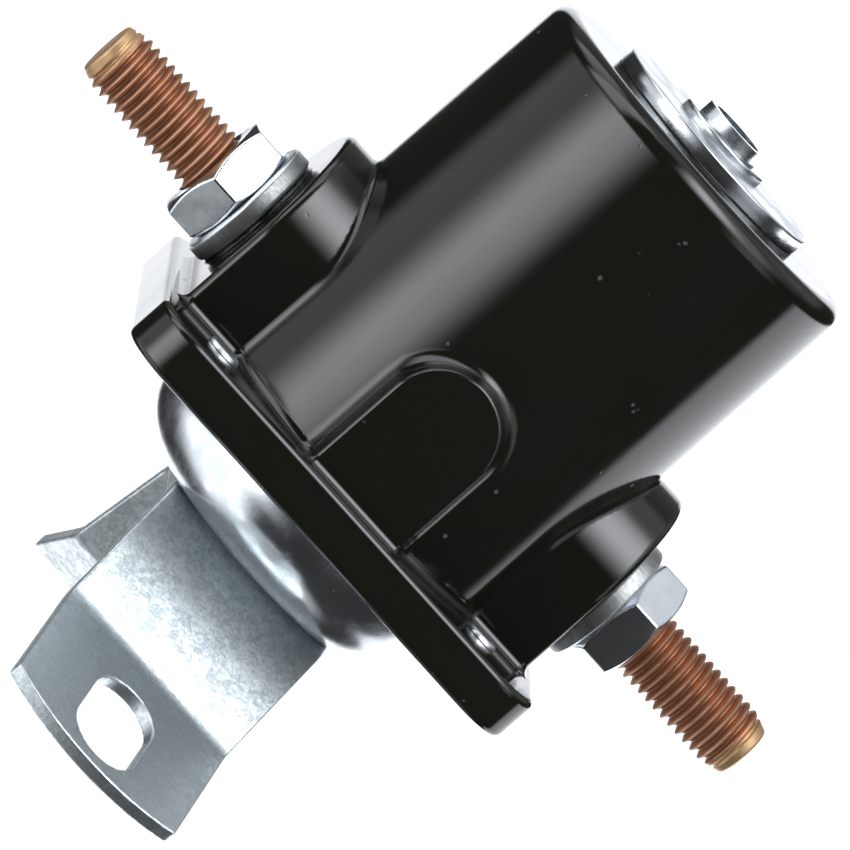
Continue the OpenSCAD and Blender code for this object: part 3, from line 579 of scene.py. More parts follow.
class Nodes:
    """Builds the nodes of one tree"""

    def __init__(self, tree):
        self.tree = tree

    def add(self, kind, inputs=None, **values):
        """A node with its settings and inputs; an input is a value or another node's output."""
        node = self.tree.nodes.new(kind)
        for key, value in values.items():
            setattr(node, key, value)
        for key, value in (inputs or {}).items():
            if isinstance(value, bpy.types.NodeSocket):
                self.tree.links.new(value, node.inputs[key])
            else:
                node.inputs[key].default_value = value
        return node

    def place(self):
        """Places in a piece's own axes."""
        return self.add("ShaderNodeTexCoord").outputs["Object"]

    def math(self, operation, *values):
        """A sum, product or other function of values."""
        return self.add("ShaderNodeMath", dict(enumerate(values)), operation=operation).outputs[0]

    def mix(self, share, a, b):
        """Colour between a and b."""
        node = self.add("ShaderNodeMix", {0: share, 6: opaque(a), 7: opaque(b)}, data_type="RGBA")
        return node.outputs[2]

    def between(self, value, low, high, out_low=0.0, out_high=1.0):
        """A value carried smoothly from one range to another."""
        node = self.add("ShaderNodeMapRange", {
            "Value": value, "From Min": low, "From Max": high, "To Min": out_low, "To Max": out_high,
        }, interpolation_type="SMOOTHSTEP")
        return node.outputs["Result"]

    def noise(self, vector, scale, detail=2.0, roughness=0.5):
        """Cloudy noise."""
        node = self.add("ShaderNodeTexNoise", {
            "Vector": vector, "Scale": scale, "Detail": detail, "Roughness": roughness,
        })
        return node.outputs["Fac"]

    def vector(self, operation, *values, output=0):
        """A function of vectors."""
        node = self.add("ShaderNodeVectorMath", dict(enumerate(values)), operation=operation)
        return node.outputs[output]

    def bump(self, height, strength, distance):
        """Normals from a height."""
        node = self.add("ShaderNodeBump", {"Height": height, "Strength": strength, "Distance": distance})
        return node.outputs["Normal"]


def grouped(nodes, name, **inputs):
    """Outputs of a node group set into a tree."""
    node = nodes.add("ShaderNodeGroup", None, node_tree=effect_tree(name))
    for key, value in inputs.items():
        if isinstance(value, bpy.types.NodeSocket):
            nodes.tree.links.new(value, node.inputs[key])
        else:
            node.inputs[key].default_value = value
    return node.outputs


def new_effect(name, inputs, outputs):
    """An empty node group with named inputs and outputs, its builder, and its two end nodes."""
    tree = bpy.data.node_groups.new(name, "ShaderNodeTree")
    for label, kind, default in inputs:
        tree.interface.new_socket(label, in_out="INPUT", socket_type=kind).default_value = default
    for label in outputs:
        tree.interface.new_socket(label, in_out="OUTPUT", socket_type="NodeSocketFloat")
    nodes = Nodes(tree)
    return nodes, nodes.add("NodeGroupInput").outputs, nodes.add("NodeGroupOutput")


def send(nodes, end, **sockets):
    """Link sockets to a node's named inputs."""
    for key, socket in sockets.items():
        nodes.tree.links.new(socket, end.inputs[key.replace("_", " ")])


def make_pits():
    """Small scattered pits, a slow ripple of the skin and clouds in its gloss."""
    n, given, end = new_effect("Pits", [
        ("Scale", "NodeSocketFloat", 700.0), ("Share", "NodeSocketFloat", 0.05),
    ], ("Pits", "Ripple", "Clouds"))
    place = n.place()
    cells = n.add("ShaderNodeTexVoronoi", {"Vector": place, "Scale": given["Scale"]}, feature="F1")
    near = n.between(cells.outputs["Distance"], 0.06, 0.26, 1.0, 0.0)
    limit = n.math("SUBTRACT", 0.78, given["Share"])
    chosen = n.between(n.noise(place, 430.0, 1.0), limit, n.math("ADD", limit, 0.06))
    send(
        n, end,
        Pits=n.math("MULTIPLY", near, chosen),
        Ripple=n.noise(place, 95.0),
        Clouds=n.noise(place, 60.0, 4.0, 0.6),
    )


def make_scratches():
    """Sparse fine scratches that run along a direction."""
    n, given, end = new_effect("Scratches", [
        ("Direction", "NodeSocketVector", (1.0, 14.0, 14.0)), ("Width", "NodeSocketFloat", 0.1),
    ], ("Scratches",))
    place = n.place()
    bends = n.add("ShaderNodeTexNoise", {"Vector": place, "Scale": 25.0, "Detail": 1.0}).outputs["Color"]
    bends = n.vector("MULTIPLY", n.vector("SUBTRACT", bends, (0.5, 0.5, 0.5)), (0.004, 0.004, 0.004))
    bent = n.vector("ADD", place, bends)
    lines = n.noise(n.vector("MULTIPLY", bent, given["Direction"]), 170.0, 3.0, 0.7)
    patches = n.between(n.noise(place, 130.0), 0.5, 0.68)
    thin = n.between(n.math("ABSOLUTE", n.math("SUBTRACT", lines, 0.5)), 0.0, given["Width"], 1.0, 0.0)
    send(n, end, Scratches=n.math("MULTIPLY", thin, patches))


def make_brushed():
    """Fine lines along a direction, slow clouds and small grains."""
    n, given, end = new_effect("Brushed", [
        ("Direction", "NodeSocketVector", (1.0, 20.0, 20.0)), ("Scale", "NodeSocketFloat", 300.0),
    ], ("Lines", "Clouds", "Grains"))
    place = n.place()
    send(
        n, end,
        Lines=n.noise(n.vector("MULTIPLY", place, given["Direction"]), given["Scale"], 3.0, 0.6),
        Clouds=n.noise(place, 210.0, 4.0, 0.6),
        Grains=n.noise(place, 2600.0, 2.0, 0.6),
    )


def make_spangle():
    """Crystal grains of plated strip."""
    n, given, end = new_effect("Spangle", [
        ("Scale", "NodeSocketFloat", 1500.0),
    ], ("Shade", "Height", "Clouds"))
    place = n.place()
    cells = n.add("ShaderNodeTexVoronoi", {"Vector": place, "Scale": given["Scale"]}, feature="F1")
    tint = n.add("ShaderNodeSeparateColor", {0: cells.outputs["Color"]}).outputs[0]
    fine = n.noise(place, 2300.0, 3.0, 0.7)
    send(
        n, end,
        Shade=n.math("ADD", n.math("MULTIPLY", tint, 0.25), n.math("MULTIPLY", fine, 0.75)),
        Height=n.math("ADD", n.math("MULTIPLY", tint, 0.2), fine),
        Clouds=n.noise(place, 300.0, 4.0, 0.65),
    )


EFFECTS = {
    "Pits": make_pits,
    "Scratches": make_scratches,
    "Brushed": make_brushed,
    "Spangle": make_spangle,
}


def effect_tree(name):
    """A node group, made when it is first asked for."""
    if name not in bpy.data.node_groups:
        EFFECTS[name]()
    return bpy.data.node_groups[name]


def new_material(name, **values):
    """A material with a Principled shader, its plain values set, and the builder of its nodes."""
    material = bpy.data.materials.new(name)
    material.use_nodes = True
    shader = material.node_tree.nodes["Principled BSDF"]
    for key, value in values.items():
        shader.inputs[key.replace("_", " ")].default_value = value
    return Nodes(material.node_tree), shader


def make_phenolic(name):
    """Glossy near-black moulded phenolic with a few pits and specks, scuffed at the flange's front edge."""
    hues = settings("finishes")
    n, shader = new_material(name, Metallic=0.0, IOR=1.52)
    skin = grouped(n, "Pits", Scale=720.0, Share=0.11)
    scratches = grouped(n, "Scratches", Direction=(3.0, 9.0, 16.0), Width=0.06)["Scratches"]
    place = n.place()
    scuff = (5.7 * MM, CASE_BOX[0].y, CASE_BOX[0].z + 0.3 * MM)
    away = n.vector("MULTIPLY", n.vector("SUBTRACT", place, scuff), (0.18, 1.0, 1.0))
    near = n.between(n.vector("LENGTH", away, output="Value"), 0.5 * MM, 1.4 * MM, 1.0, 0.0)
    scratches = n.math("MULTIPLY", scratches, near)
    marks = n.math("MAXIMUM", n.math("MULTIPLY", skin["Pits"], 0.6), scratches)
    rough = n.between(skin["Clouds"], 0.3, 0.75, 0.08, 0.15)
    height = n.math("SUBTRACT", n.math("MULTIPLY", skin["Ripple"], 0.4), skin["Pits"])
    send(
        n, shader,
        Base_Color=n.mix(marks, hues.phenolic, hues.specks),
        Roughness=n.math("ADD", rough, n.math("MULTIPLY", marks, 0.35)),
        Normal=n.bump(n.math("SUBTRACT", height, n.math("MULTIPLY", scratches, 0.3)), 0.35, 0.06 * MM),
    )


def make_metal(name, bright, dull, direction, scale, low, high, bump):
    """Metal of two colours, with fine lines, clouds and grains in colour, gloss and bump."""
    hues = settings("finishes")
    n, shader = new_material(name, Metallic=1.0)
    marks = grouped(n, "Brushed", Direction=direction, Scale=scale)
    patches = n.between(marks["Clouds"], 0.35, 0.7)
    tone = n.math("ADD", n.math("MULTIPLY", patches, 0.7), n.math("MULTIPLY", marks["Lines"], 0.3))
    height = n.math("ADD", n.math("MULTIPLY", marks["Grains"], 0.5), marks["Lines"])
    send(
        n, shader,
        Base_Color=n.mix(tone, getattr(hues, bright), getattr(hues, dull)),
        Roughness=n.between(tone, 0.1, 0.9, low, high),
        Normal=n.bump(height, bump, 0.03 * MM),
    )


def make_sheared(name):
    """Rough sheared rim of a plated washer, with striations across the sheet."""
    hues = settings("finishes")
    n, shader = new_material(name, Metallic=1.0)
    marks = grouped(n, "Brushed", Direction=(0.5, 1.5, 1.5), Scale=2200.0)
    tone = n.math("ADD", n.math("MULTIPLY", marks["Clouds"], 0.4), n.math("MULTIPLY", marks["Lines"], 0.6))
    send(
        n, shader,
        Base_Color=n.mix(n.between(tone, 0.35, 0.65), hues.sheared_bright, hues.sheared),
        Roughness=n.between(tone, 0.3, 0.7, 0.4, 0.5),
        Normal=n.bump(marks["Lines"], 0.35, 0.05 * MM),
    )


def make_strap(name):
    """Zinc plated strip with a spangled grain."""
    hues = settings("finishes")
    n, shader = new_material(name, Metallic=1.0)
    grain = grouped(n, "Spangle", Scale=1400.0)
    patches = n.between(grain["Clouds"], 0.3, 0.75)
    tone = n.math("ADD", n.math("MULTIPLY", grain["Shade"], 0.85), n.math("MULTIPLY", patches, 0.15))
    send(
        n, shader,
        Base_Color=n.mix(n.between(tone, 0.28, 0.72), hues.strap, hues.strap_dark),
        Roughness=n.between(tone, 0.3, 0.7, 0.37, 0.5),
        Normal=n.bump(grain["Height"], 0.75, 0.05 * MM),
    )


def make_copper(name):
    """Copper plate, bright on the thread's worn crests, with painted shade darkening it towards the
    thread's roots.
    """
    hues, metal = settings("finishes"), settings("metal")
    n, shader = new_material(name, Metallic=0.85)
    marks = grouped(n, "Brushed", Direction=(1.0, 6.0, 6.0), Scale=500.0)
    place = n.place()
    axis_h = CASE_BOX[0].z + settings("case").stud_h
    across = n.vector("MULTIPLY", n.vector("SUBTRACT", place, (0.0, 0.0, axis_h)), (0.0, 1.0, 1.0))
    radius = n.vector("LENGTH", across, output="Value")
    height = n.between(radius, metal.stud_r - THREAD_DEPTH * metal.stud_pitch, metal.stud_r)
    worn = n.between(n.math("ADD", height, n.math("MULTIPLY", marks["Clouds"], 0.5)), 1.08, 1.42)
    # Painted shade: the flanks darken towards the thread roots
    shaded_flanks = n.mix(n.between(height, 0.0, 0.55), hues.copper_root_shade, hues.copper)
    thread = n.mix(worn, shaded_flanks, hues.copper_bright)
    out = n.math("ABSOLUTE", n.add("ShaderNodeSeparateXYZ", {0: place}).outputs["X"])
    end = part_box("power_stud_r")[1].x
    smooth = n.between(out, end - 2 * MM, end - 1.3 * MM)
    send(
        n, shader,
        Base_Color=n.mix(smooth, thread, hues.copper_tip),
        Roughness=n.between(marks["Clouds"], 0.3, 0.7, 0.42, 0.56),
        Normal=n.bump(marks["Lines"], 0.3, 0.03 * MM),
    )


def make_wire(name):
    """Close turns of enamelled wire, with painted shade in the gaps between the turns."""
    hues = settings("finishes")
    n, shader = new_material(name, Metallic=0.6, Coat_Weight=0.3)
    place = n.place()
    height = n.add("ShaderNodeSeparateXYZ", {0: place}).outputs["Z"]
    turns = n.math("ABSOLUTE", n.math("SINE", n.math("MULTIPLY", height, math.pi / (0.6 * MM))))
    marks = grouped(n, "Brushed", Direction=(1.0, 1.0, 8.0), Scale=300.0)
    send(
        n, shader,
        # Painted shade: the colour darkens in the gaps between the turns
        Base_Color=n.mix(turns, hues.wire_gap_shade_and_dull, hues.wire),
        Roughness=n.between(marks["Clouds"], 0.3, 0.7, 0.25, 0.4),
        Normal=n.bump(turns, 0.8, 0.15 * MM),
    )


def make_dull(name, bright, dark, direction, scale, low, high):
    """Dull material of two colours, with lines, clouds and pits."""
    hues = settings("finishes")
    n, shader = new_material(name, Metallic=0.0)
    marks = grouped(n, "Brushed", Direction=direction, Scale=scale)
    skin = grouped(n, "Pits", Scale=900.0, Share=0.12)
    tone = n.math("MULTIPLY", n.math("ADD", marks["Clouds"], marks["Lines"]), 0.5)
    send(
        n, shader,
        Base_Color=n.mix(n.between(tone, 0.3, 0.7), getattr(hues, bright), getattr(hues, dark)),
        Roughness=n.between(tone, 0.3, 0.7, low, high),
        Normal=n.bump(n.math("SUBTRACT", marks["Grains"], skin["Pits"]), 0.3, 0.04 * MM),
    )


# Name and maker of each finish. For metals and dull materials also their two colours, the direction and
# scale of their lines, their lowest and highest roughness, and for metals the strength of their bump.
FINISHES = {
    "phenolic_black": ("Black phenolic", make_phenolic),
    "zinc_bright": ("Bright zinc", make_metal, "zinc", "zinc_dull", (1, 1, 1), 900, 0.16, 0.3, 0.25),
    "zinc_strap": ("Spangled zinc", make_strap),
    "copper": ("Copper plate", make_copper),
    "core_steel": ("Soft steel", make_metal, "steel", "steel_dark", (1, 1, 16), 260, 0.28, 0.42, 0.3),
    "spring_steel": ("Spring wire", make_metal, "steel", "steel_dark", (2, 2, 2), 900, 0.22, 0.34, 0.2),
    "enamelled_wire": ("Enamelled copper wire", make_wire),
    "lead": ("Enamelled lead", make_metal, "wire", "wire_gap_shade_and_dull", (1, 1, 4), 500, 0.25, 0.4, 0.2),
    "fibre": ("Vulcanised fibre", make_dull, "fibre", "fibre_dark", (1, 5, 5), 400, 0.6, 0.85),
    "nylon": ("Cloudy nylon", make_dull, "nylon", "nylon_dark", (1, 1, 2), 200, 0.38, 0.55),
    "washer": ("Tumbled zinc", make_metal, "zinc", "zinc_dull", (1, 1, 1), 700, 0.3, 0.42, 0.35),
    "sheared": ("Sheared zinc", make_sheared),
}


def finish(slot):
    """The material of a slot, made when it is first asked for."""
    name, make, *values = FINISHES[slot]
    if name not in bpy.data.materials:
        make(name, *values)
    return bpy.data.materials[name]


# The pieces' shapes


def case_shape(x, y, z):
    """The moulded case with its bosses, pads, flange, hollows and holes."""
    s, m = settings("case"), settings("metal")
    low, high = CASE_BOX
    half_w, half_d, body_h = high.x, high.y, high.z - low.z
    w = z - low.z
    ax, ay = np.abs(x), np.abs(y)
    from_axis = np.hypot(x, y)
    from_stud = np.hypot(y, w - s.stud_h)

    wall = from_axis - s.body_r + (s.body_r - s.body_top_r) * w / body_h
    body = np.maximum(common(wall, w - body_h, s.body_edge_r), -w)
    boss = common(tombstone(y, w, s.boss_r, s.stud_h), ax - s.boss_reach, s.boss_edge_r)
    boss = np.maximum(boss, s.flange_t / 2 - w)
    land = common(from_stud - s.land_r, ax - s.boss_reach - s.land_t, FINE_EDGE)
    pad = common(tombstone(x, w, s.pad_r, s.pad_h), ay - s.pad_reach, s.pad_edge_r)
    pad = np.maximum(pad, s.flange_t / 2 - w)

    rise = s.flange_end_w / 2 - (half_d - s.flange_corner_r)
    corner_x = half_w - math.sqrt(s.flange_corner_r ** 2 - rise ** 2)
    past_x, past_y = ax - corner_x, ay - half_d + s.flange_corner_r
    outline = np.hypot(np.maximum(past_x, 0), np.maximum(past_y, 0))
    outline = outline + np.minimum(np.maximum(past_x, past_y), 0)
    outline = common(outline - s.flange_corner_r, ax - half_w, EDGE)
    flange = common(outline, layer(w, s.flange_t / 2, s.flange_t), s.flange_edge_r)

    solid = cove(body, pad, s.pad_cove_r)
    solid = cove(solid, boss, s.boss_cove_r)
    solid = cove(solid, flange, s.flange_cove_r)
    solid = cove(solid, land, EDGE)

    rim = np.maximum(rim_outline(ax, ay, m.hole_room), w - m.cover_t)
    groove = np.maximum(from_axis - s.gasket_r, w - m.cover_t - s.gasket_t)
    room = np.maximum(from_axis - s.room_r, w - s.room_h)
    half_pad = s.seat_pad_w / 2
    seat = np.maximum(s.room_r - s.seat_pad_t - ax, np.maximum(ay, np.abs(w - s.stud_h)) - half_pad)
    room = np.maximum(room, -seat)
    coil_room = np.maximum(from_axis - s.coil_room_r, w - body_h + s.top_wall)
    hollow = np.minimum(np.minimum(rim, groove), np.minimum(room, coil_room))
    hollow = np.minimum(hollow, np.maximum(from_axis - s.tube_r, body_h - 2 * s.top_wall - w))
    hollow = np.minimum(hollow, from_stud - m.stud_r - m.hole_room)
    coil_hole = np.hypot(x, w - s.pad_h) - m.coil_stud_r - m.hole_room
    hollow = np.minimum(hollow, np.maximum(coil_hole, -y))
    rivets = np.hypot(ax - m.rivet_x, ay - m.rivet_y) - m.rivet_hole_r
    hollow = np.minimum(hollow, np.maximum(rivets, w - 2 * s.flange_t))
    return np.maximum(solid, -hollow)


def rim_outline(ax, ay, margin):
    """Outline of the cover's rim plate with its corners cut, grown by a margin."""
    x, y = RIM_BOX[1].x + margin, RIM_BOX[1].y + margin
    cut = (ax + ay - x - y + settings("metal").rim_corner) / math.sqrt(2)
    return np.maximum(np.maximum(ax - x, ay - y), cut)


def cover_shape(x, y, z):
    """The pressed base cover: a bowl below a rim plate."""
    m = settings("metal")
    w = z - CASE_BOX[0].z
    ax, ay = np.abs(x), np.abs(y)
    from_axis = np.hypot(x, y)
    bowl = common(from_axis - m.cover_r, -w - m.cover_depth, m.cover_shoulder_r)
    plate = common(rim_outline(ax, ay, 0), layer(w, m.cover_t / 2, m.cover_t), FINE_EDGE)
    solid = cove(np.maximum(bowl, w - m.cover_t), plate, COVER_COVE)
    solid = np.maximum(solid, -bowl - m.cover_t)
    holes = np.hypot(ax - m.rivet_x, ay - m.rivet_y)
    holes = np.minimum(holes, np.hypot(ax - m.bracket_rivet_x, y))
    return np.maximum(solid, m.rivet_hole_r - holes)


def arc(y, z, centre, r, start, end):
    """Distance to an arc; its angles run from the upward direction towards the outside."""
    dy, dz = y - centre[0], z - centre[1]
    turn = np.arctan2(dy, dz)
    return np.where((turn >= start) & (turn <= end), np.abs(np.hypot(dy, dz) - r), 1.0)


def line(y, z, a, b):
    """Distance to a straight line between two points."""
    run, rise = b[0] - a[0], b[1] - a[1]
    share = np.clip(((y - a[0]) * run + (z - a[1]) * rise) / (run ** 2 + rise ** 2), 0, 1)
    return np.hypot(y - a[0] - share * run, z - a[1] - share * rise)


def strap_stations():
    """The strap's middle line from the side: first bend, leg's start and end, foot's start and end."""
    m = settings("metal")
    leg_sin, leg_cos = math.sin(m.leg_slope), math.cos(m.leg_slope)
    foot_sin, foot_cos = math.sin(m.foot_slope), math.cos(m.foot_slope)
    top = BRACKET_BOX[1].z - m.strap_t / 2
    leg_start = (m.strap_flat + m.bend_r * leg_sin, top - m.bend_r * (1 - leg_cos))
    leg_end = (leg_start[0] + m.leg_len * leg_cos, leg_start[1] - m.leg_len * leg_sin)
    foot_start = (
        leg_end[0] + m.bend_r * (leg_sin - foot_sin), leg_end[1] - m.bend_r * (foot_cos - leg_cos)
    )
    foot_end = (foot_start[0] + m.foot_len * foot_cos, foot_start[1] - m.foot_len * foot_sin)
    return (m.strap_flat, top), leg_start, leg_end, foot_start, foot_end


def bracket_shape(x, y, z):
    """The bent strap with its curved free edges, slots and rivet holes."""
    m = settings("metal")
    bend, leg_start, leg_end, foot_start, foot_end = strap_stations()
    ax, ay = np.abs(x), np.abs(y)
    first = (bend[0], bend[1] - m.bend_r)
    second = (
        leg_end[0] + m.bend_r * math.sin(m.leg_slope), leg_end[1] + m.bend_r * math.cos(m.leg_slope)
    )
    middle = line(ay, z, (0, bend[1]), bend)
    middle = np.minimum(middle, arc(ay, z, first, m.bend_r, 0, m.leg_slope))
    middle = np.minimum(middle, line(ay, z, leg_start, leg_end))
    middle = np.minimum(middle, arc(-ay, -z, (-second[0], -second[1]), m.bend_r, m.foot_slope, m.leg_slope))
    foot_cos, foot_sin = math.cos(m.foot_slope), math.sin(m.foot_slope)
    beyond = (foot_end[0] + m.strap_t * foot_cos, foot_end[1] - m.strap_t * foot_sin)
    middle = np.minimum(middle, line(ay, z, foot_start, beyond))
    strap = common(middle - m.strap_t / 2, ax - m.strap_w / 2, m.sheared_r)
    out = (ay - foot_end[0]) * foot_cos - (z - foot_end[1]) * foot_sin
    strap = common(strap, np.hypot(out + m.foot_edge_r, x) - m.foot_edge_r, m.sheared_r)
    slot = stadium(out + m.slot_land + m.slot_len / 2, x, m.slot_len, m.slot_w)
    strap = common(strap, -slot, m.sheared_r)
    rivets = np.hypot(ax - m.bracket_rivet_x, y) - m.rivet_hole_r
    return np.maximum(strap, -rivets)


def nut_shape(along, u, v, thickness, flats, bore, turn):
    """A hexagonal nut centred on an axis, bevelled on both ends."""
    m = settings("metal")
    sides = -flats * np.ones(1)
    for k in range(3):
        direction = turn + k * math.pi / 3
        side = np.abs(u * math.cos(direction) + v * math.sin(direction)) - flats / 2
        sides = common(sides, side, m.nut_edge_r)
    solid = common(layer(along, 0, thickness), sides, NUT_FACE_EDGE)
    r = np.hypot(u, v)
    past = np.abs(along) - thickness / 2
    bevel = (r - flats / 2 + m.nut_bevel) * math.sin(NUT_BEVEL_SLOPE) + past * math.cos(NUT_BEVEL_SLOPE)
    solid = common(solid, bevel, m.nut_edge_r)
    cone = (bore + NUT_CONE - r + past) * math.sqrt(0.5)
    return np.maximum(np.maximum(solid, cone), bore - r)


def washer(name, node, axis, bore, edges):
    """A washer in place of a node; edges are its four roundings in millimetres, from bore to bore."""
    low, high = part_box(node)
    along = "XYZ".index(axis)
    rim = high.y if axis == "X" else high.x
    near, far = low[along], high[along]
    places = ((bore, near), (rim, near), (rim, far), (bore, far))
    corners = [(r, place, edge * MM) for (r, place), edge in zip(places, edges)]
    return turned(name, corners, axis, (0, 0, (low.z + high.z) / 2), node, "zinc_bright")


def finish_rim(piece, axis, rim_finish):
    """Give a washer's faces the tumbled finish and its outer rim another."""
    mesh = piece.data
    mesh.materials[0] = finish("washer")
    mesh.materials.append(finish(rim_finish))
    middle = sum((vert.co for vert in mesh.vertices), Vector()) / len(mesh.vertices)
    along = "XYZ".index(axis)
    for face in mesh.polygons:
        outer = face.normal.dot(face.center - middle) > 0
        face.material_index = int(outer and abs(face.normal[along]) < RIM_LEAN)


# Operators, one for each group of pieces


class RELAY_OT_case(Operator):
    """Moulded case with its bosses, pads and flange"""

    bl_idname = "relay.case"
    bl_label = "Moulded case"

    def execute(self, context):
        mesh = settings("mesh")
        shaped("Moulded_housing", case_shape, "housing", mesh.case_step, mesh.case_kept, "phenolic_black")
        return {"FINISHED"}


class RELAY_OT_cover(Operator):
    """Pressed base cover"""

    bl_idname = "relay.cover"
    bl_label = "Base cover"

    def execute(self, context):
        mesh = settings("mesh")
        shaped("Base_cover", cover_shape, "base_cover", mesh.sheet_step, mesh.sheet_kept, "zinc_bright")
        return {"FINISHED"}


class RELAY_OT_bracket(Operator):
    """Bent strap bracket"""

    bl_idname = "relay.bracket"
    bl_label = "Strap bracket"

    def execute(self, context):
        mesh = settings("mesh")
        node = "mounting_bracket"
        shaped("Strap_bracket", bracket_shape, node, mesh.sheet_step, mesh.sheet_kept, "zinc_strap")
        return {"FINISHED"}


class RELAY_OT_studs(Operator):
    """Threaded power studs and coil stud"""

    bl_idname = "relay.studs"
    bl_label = "Studs"

    def execute(self, context):
        m = settings("metal")
        for letter, side in (("l", -1), ("r", 1)):
            node = "power_stud_" + letter
            low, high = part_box(node)
            ends = sorted((abs(low.x), abs(high.x)))
            head_end = min(abs(corner.x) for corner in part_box("stud_seat_" + letter))
            centre = (0, 0, (low.z + high.z) / 2)
            middle = (ends[0] + head_end) / 2
            stud = threaded(
                "Power_stud_" + letter, "X", side, centre, middle, ends[1], m.stud_tip, m.stud_r,
                m.stud_pitch, "copper",
            )
            faces = sorted((side * ends[0], side * head_end))
            add_head(stud, (faces[0], low.y, low.z), (faces[1], high.y, high.z))
            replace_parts(stud, node)
        low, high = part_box("coil_stud")
        head_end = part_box("coil_seat")[0].y
        centre = (0, 0, (low.z + high.z) / 2)
        middle = (low.y + head_end) / 2
        stud = threaded(
            "Coil_stud", "Y", 1, centre, middle, high.y, m.coil_stud_tip, m.coil_stud_r, m.coil_stud_pitch,
            "zinc_bright",
        )
        add_head(stud, low, (high.x, head_end, high.z))
        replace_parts(stud, "coil_stud")
        return {"FINISHED"}


class RELAY_OT_nuts(Operator):
    """Jam nuts and coil nut"""

    bl_idname = "relay.nuts"
    bl_label = "Nuts"

    def execute(self, context):
        m, mesh = settings("metal"), settings("mesh")
        for node, flats, bore, turn in (
            ("stud_nut_l", m.nut_af, m.stud_r, m.left_nut_turn),
            ("stud_nut_r", m.nut_af, m.stud_r, m.right_nut_turn),
            ("coil_nut", m.coil_nut_af, m.coil_stud_r, 0),
        ):
            low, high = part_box(node)
            middle, extent = (low + high) / 2, high - low

            def nut(x, y, z):
                if node == "coil_nut":
                    return nut_shape(y - middle.y, x, z - middle.z, extent.y, flats, bore, turn)
                return nut_shape(x - middle.x, y, z - middle.z, extent.x, flats, bore, turn)

            shaped(node.capitalize(), nut, node, mesh.nut_step, mesh.sheet_kept, "zinc_bright")
        return {"FINISHED"}


class RELAY_OT_washers(Operator):
    """Washers under the nuts"""

    bl_idname = "relay.washers"
    bl_label = "Washers"

    def execute(self, context):
        m = settings("metal")
        bore, coil_bore = m.stud_r + m.hole_room, m.coil_stud_r + m.hole_room
        for name, node, axis, hole, edges in (
            ("Washer_left", "stud_washer_l", "X", bore, (0.1, 0.45, 0.45, 0.1)),
            ("Washer_right", "stud_washer_r", "X", bore, (0.1, 0.45, 0.45, 0.1)),
            ("Coil_washer", "coil_washer", "Y", coil_bore, (0.1, 0.15, 0.2, 0.1)),
        ):
            finish_rim(washer(name, node, axis, hole, edges), axis, "sheared")
        return {"FINISHED"}


class RELAY_OT_top(Operator):
    """Flat washer and ring on the body's top"""

    bl_idname = "relay.top"
    bl_label = "Top"

    def execute(self, context):
        bore = settings("case").tube_r
        finish_rim(washer("Top_washer", "top_washer", "Z", bore, (0.1, 0.2, 0.25, 0.1)), "Z", "zinc_bright")
        washer("Core_ring", "core_ring", "Z", settings("metal").tube_r, (0.05, 0.12, 0.3, 0.05))
        return {"FINISHED"}


class RELAY_OT_rivets(Operator):
    """Rivets of the flange and of the bracket"""

    bl_idname = "relay.rivets"
    bl_label = "Rivets"

    def execute(self, context):
        m = settings("metal")
        shank = m.rivet_hole_r - m.hole_room
        flange_low = CASE_BOX[0].z
        flange_top = flange_low + settings("case").flange_t
        for name in ("fl", "fr", "bl", "br"):
            node = "flange_rivet_" + name
            low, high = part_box(node)
            r = (high.x - low.x) / 2
            crown = high.z - RIVET_DOME * (high.z - flange_top)
            rivet = turned("Flange_rivet_" + name, [
                (0, low.z, 0), (r - 0.1 * MM, low.z, EDGE), (r, flange_low, SHARP_EDGE),
                (shank, flange_low, 0), (shank, flange_top, 0), (RIVET_NECK * r, flange_top, SHARP_EDGE),
                (RIVET_CROWN * r, crown, 0.6 * MM), (0, crown, 0),
            ], "Z", ((low.x + high.x) / 2, (low.y + high.y) / 2, 0), node, "zinc_bright")
            rivet.data.materials[0] = finish("washer")
        head_t, crown = BRACKET_HEAD_T, BRACKET_CROWN
        for letter in ("l", "r"):
            node = "bracket_rivet_" + letter
            low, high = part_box(node)
            r = (high.x - low.x) / 2
            turned("Bracket_rivet_" + letter, [
                (0, low.z, 0), (r - crown, low.z, 0.4 * MM), (r, low.z + crown, 0.1 * MM),
                (r, low.z + head_t, SHARP_EDGE), (shank, low.z + head_t, 0), (shank, high.z - head_t, 0),
                (r, high.z - head_t, SHARP_EDGE), (r, high.z - crown, 0.1 * MM),
                (r - crown, high.z, 0.4 * MM), (0, high.z, 0),
            ], "Z", ((low.x + high.x) / 2, 0, 0), node, "zinc_bright")
        return {"FINISHED"}


class RELAY_OT_springs(Operator):
    """Return spring and contact spring, each riding on its joint's parent body"""

    bl_idname = "relay.springs"
    bl_label = "Springs"

    def execute(self, context):
        for joint in frame["record"]["behaviour"]["joints"]:
            for spring in joint["deforming_nodes"]:
                node = spring["node"]
                piece = bpy.data.objects.new(node.capitalize(), frame["nodes"][node].data.copy())
                context.scene.collection.objects.link(piece)
                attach(piece, joint["parent"])
                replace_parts(piece, node)
                piece.data.materials.clear()
                piece.data.materials.append(finish("spring_steel"))
                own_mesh(piece)
        return {"FINISHED"}


class RELAY_OT_inner(Operator):
    """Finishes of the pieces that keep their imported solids"""

    bl_idname = "relay.inner"
    bl_label = "Inner pieces"

    def execute(self, context):
        replaced = {node for piece in bpy.data.objects for node in piece.get("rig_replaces", [])}
        for part in frame["record"]["subparts"]:
            if part["node"] not in replaced:
                materials = frame["nodes"][part["node"]].data.materials
                materials.clear()
                lead = part["node"].endswith("_lead")
                materials.append(finish("lead" if lead else part["material_slot"]))
        return {"FINISHED"}


class RELAY_OT_stage(Operator):
    """Floor, studio light and camera"""

    bl_idname = "relay.stage"
    bl_label = "Stage"

    def execute(self, context):
        make_floor()
        make_studio()
        make_camera()
        context.scene.view_settings.view_transform = "Standard"
        return {"FINISHED"}


# Colour of the floor's own shade, which carries the shadow, and strength of its glow
FLOOR_SHADE = (0.3, 0.3, 0.3)
FLOOR_GLOW = 0.92


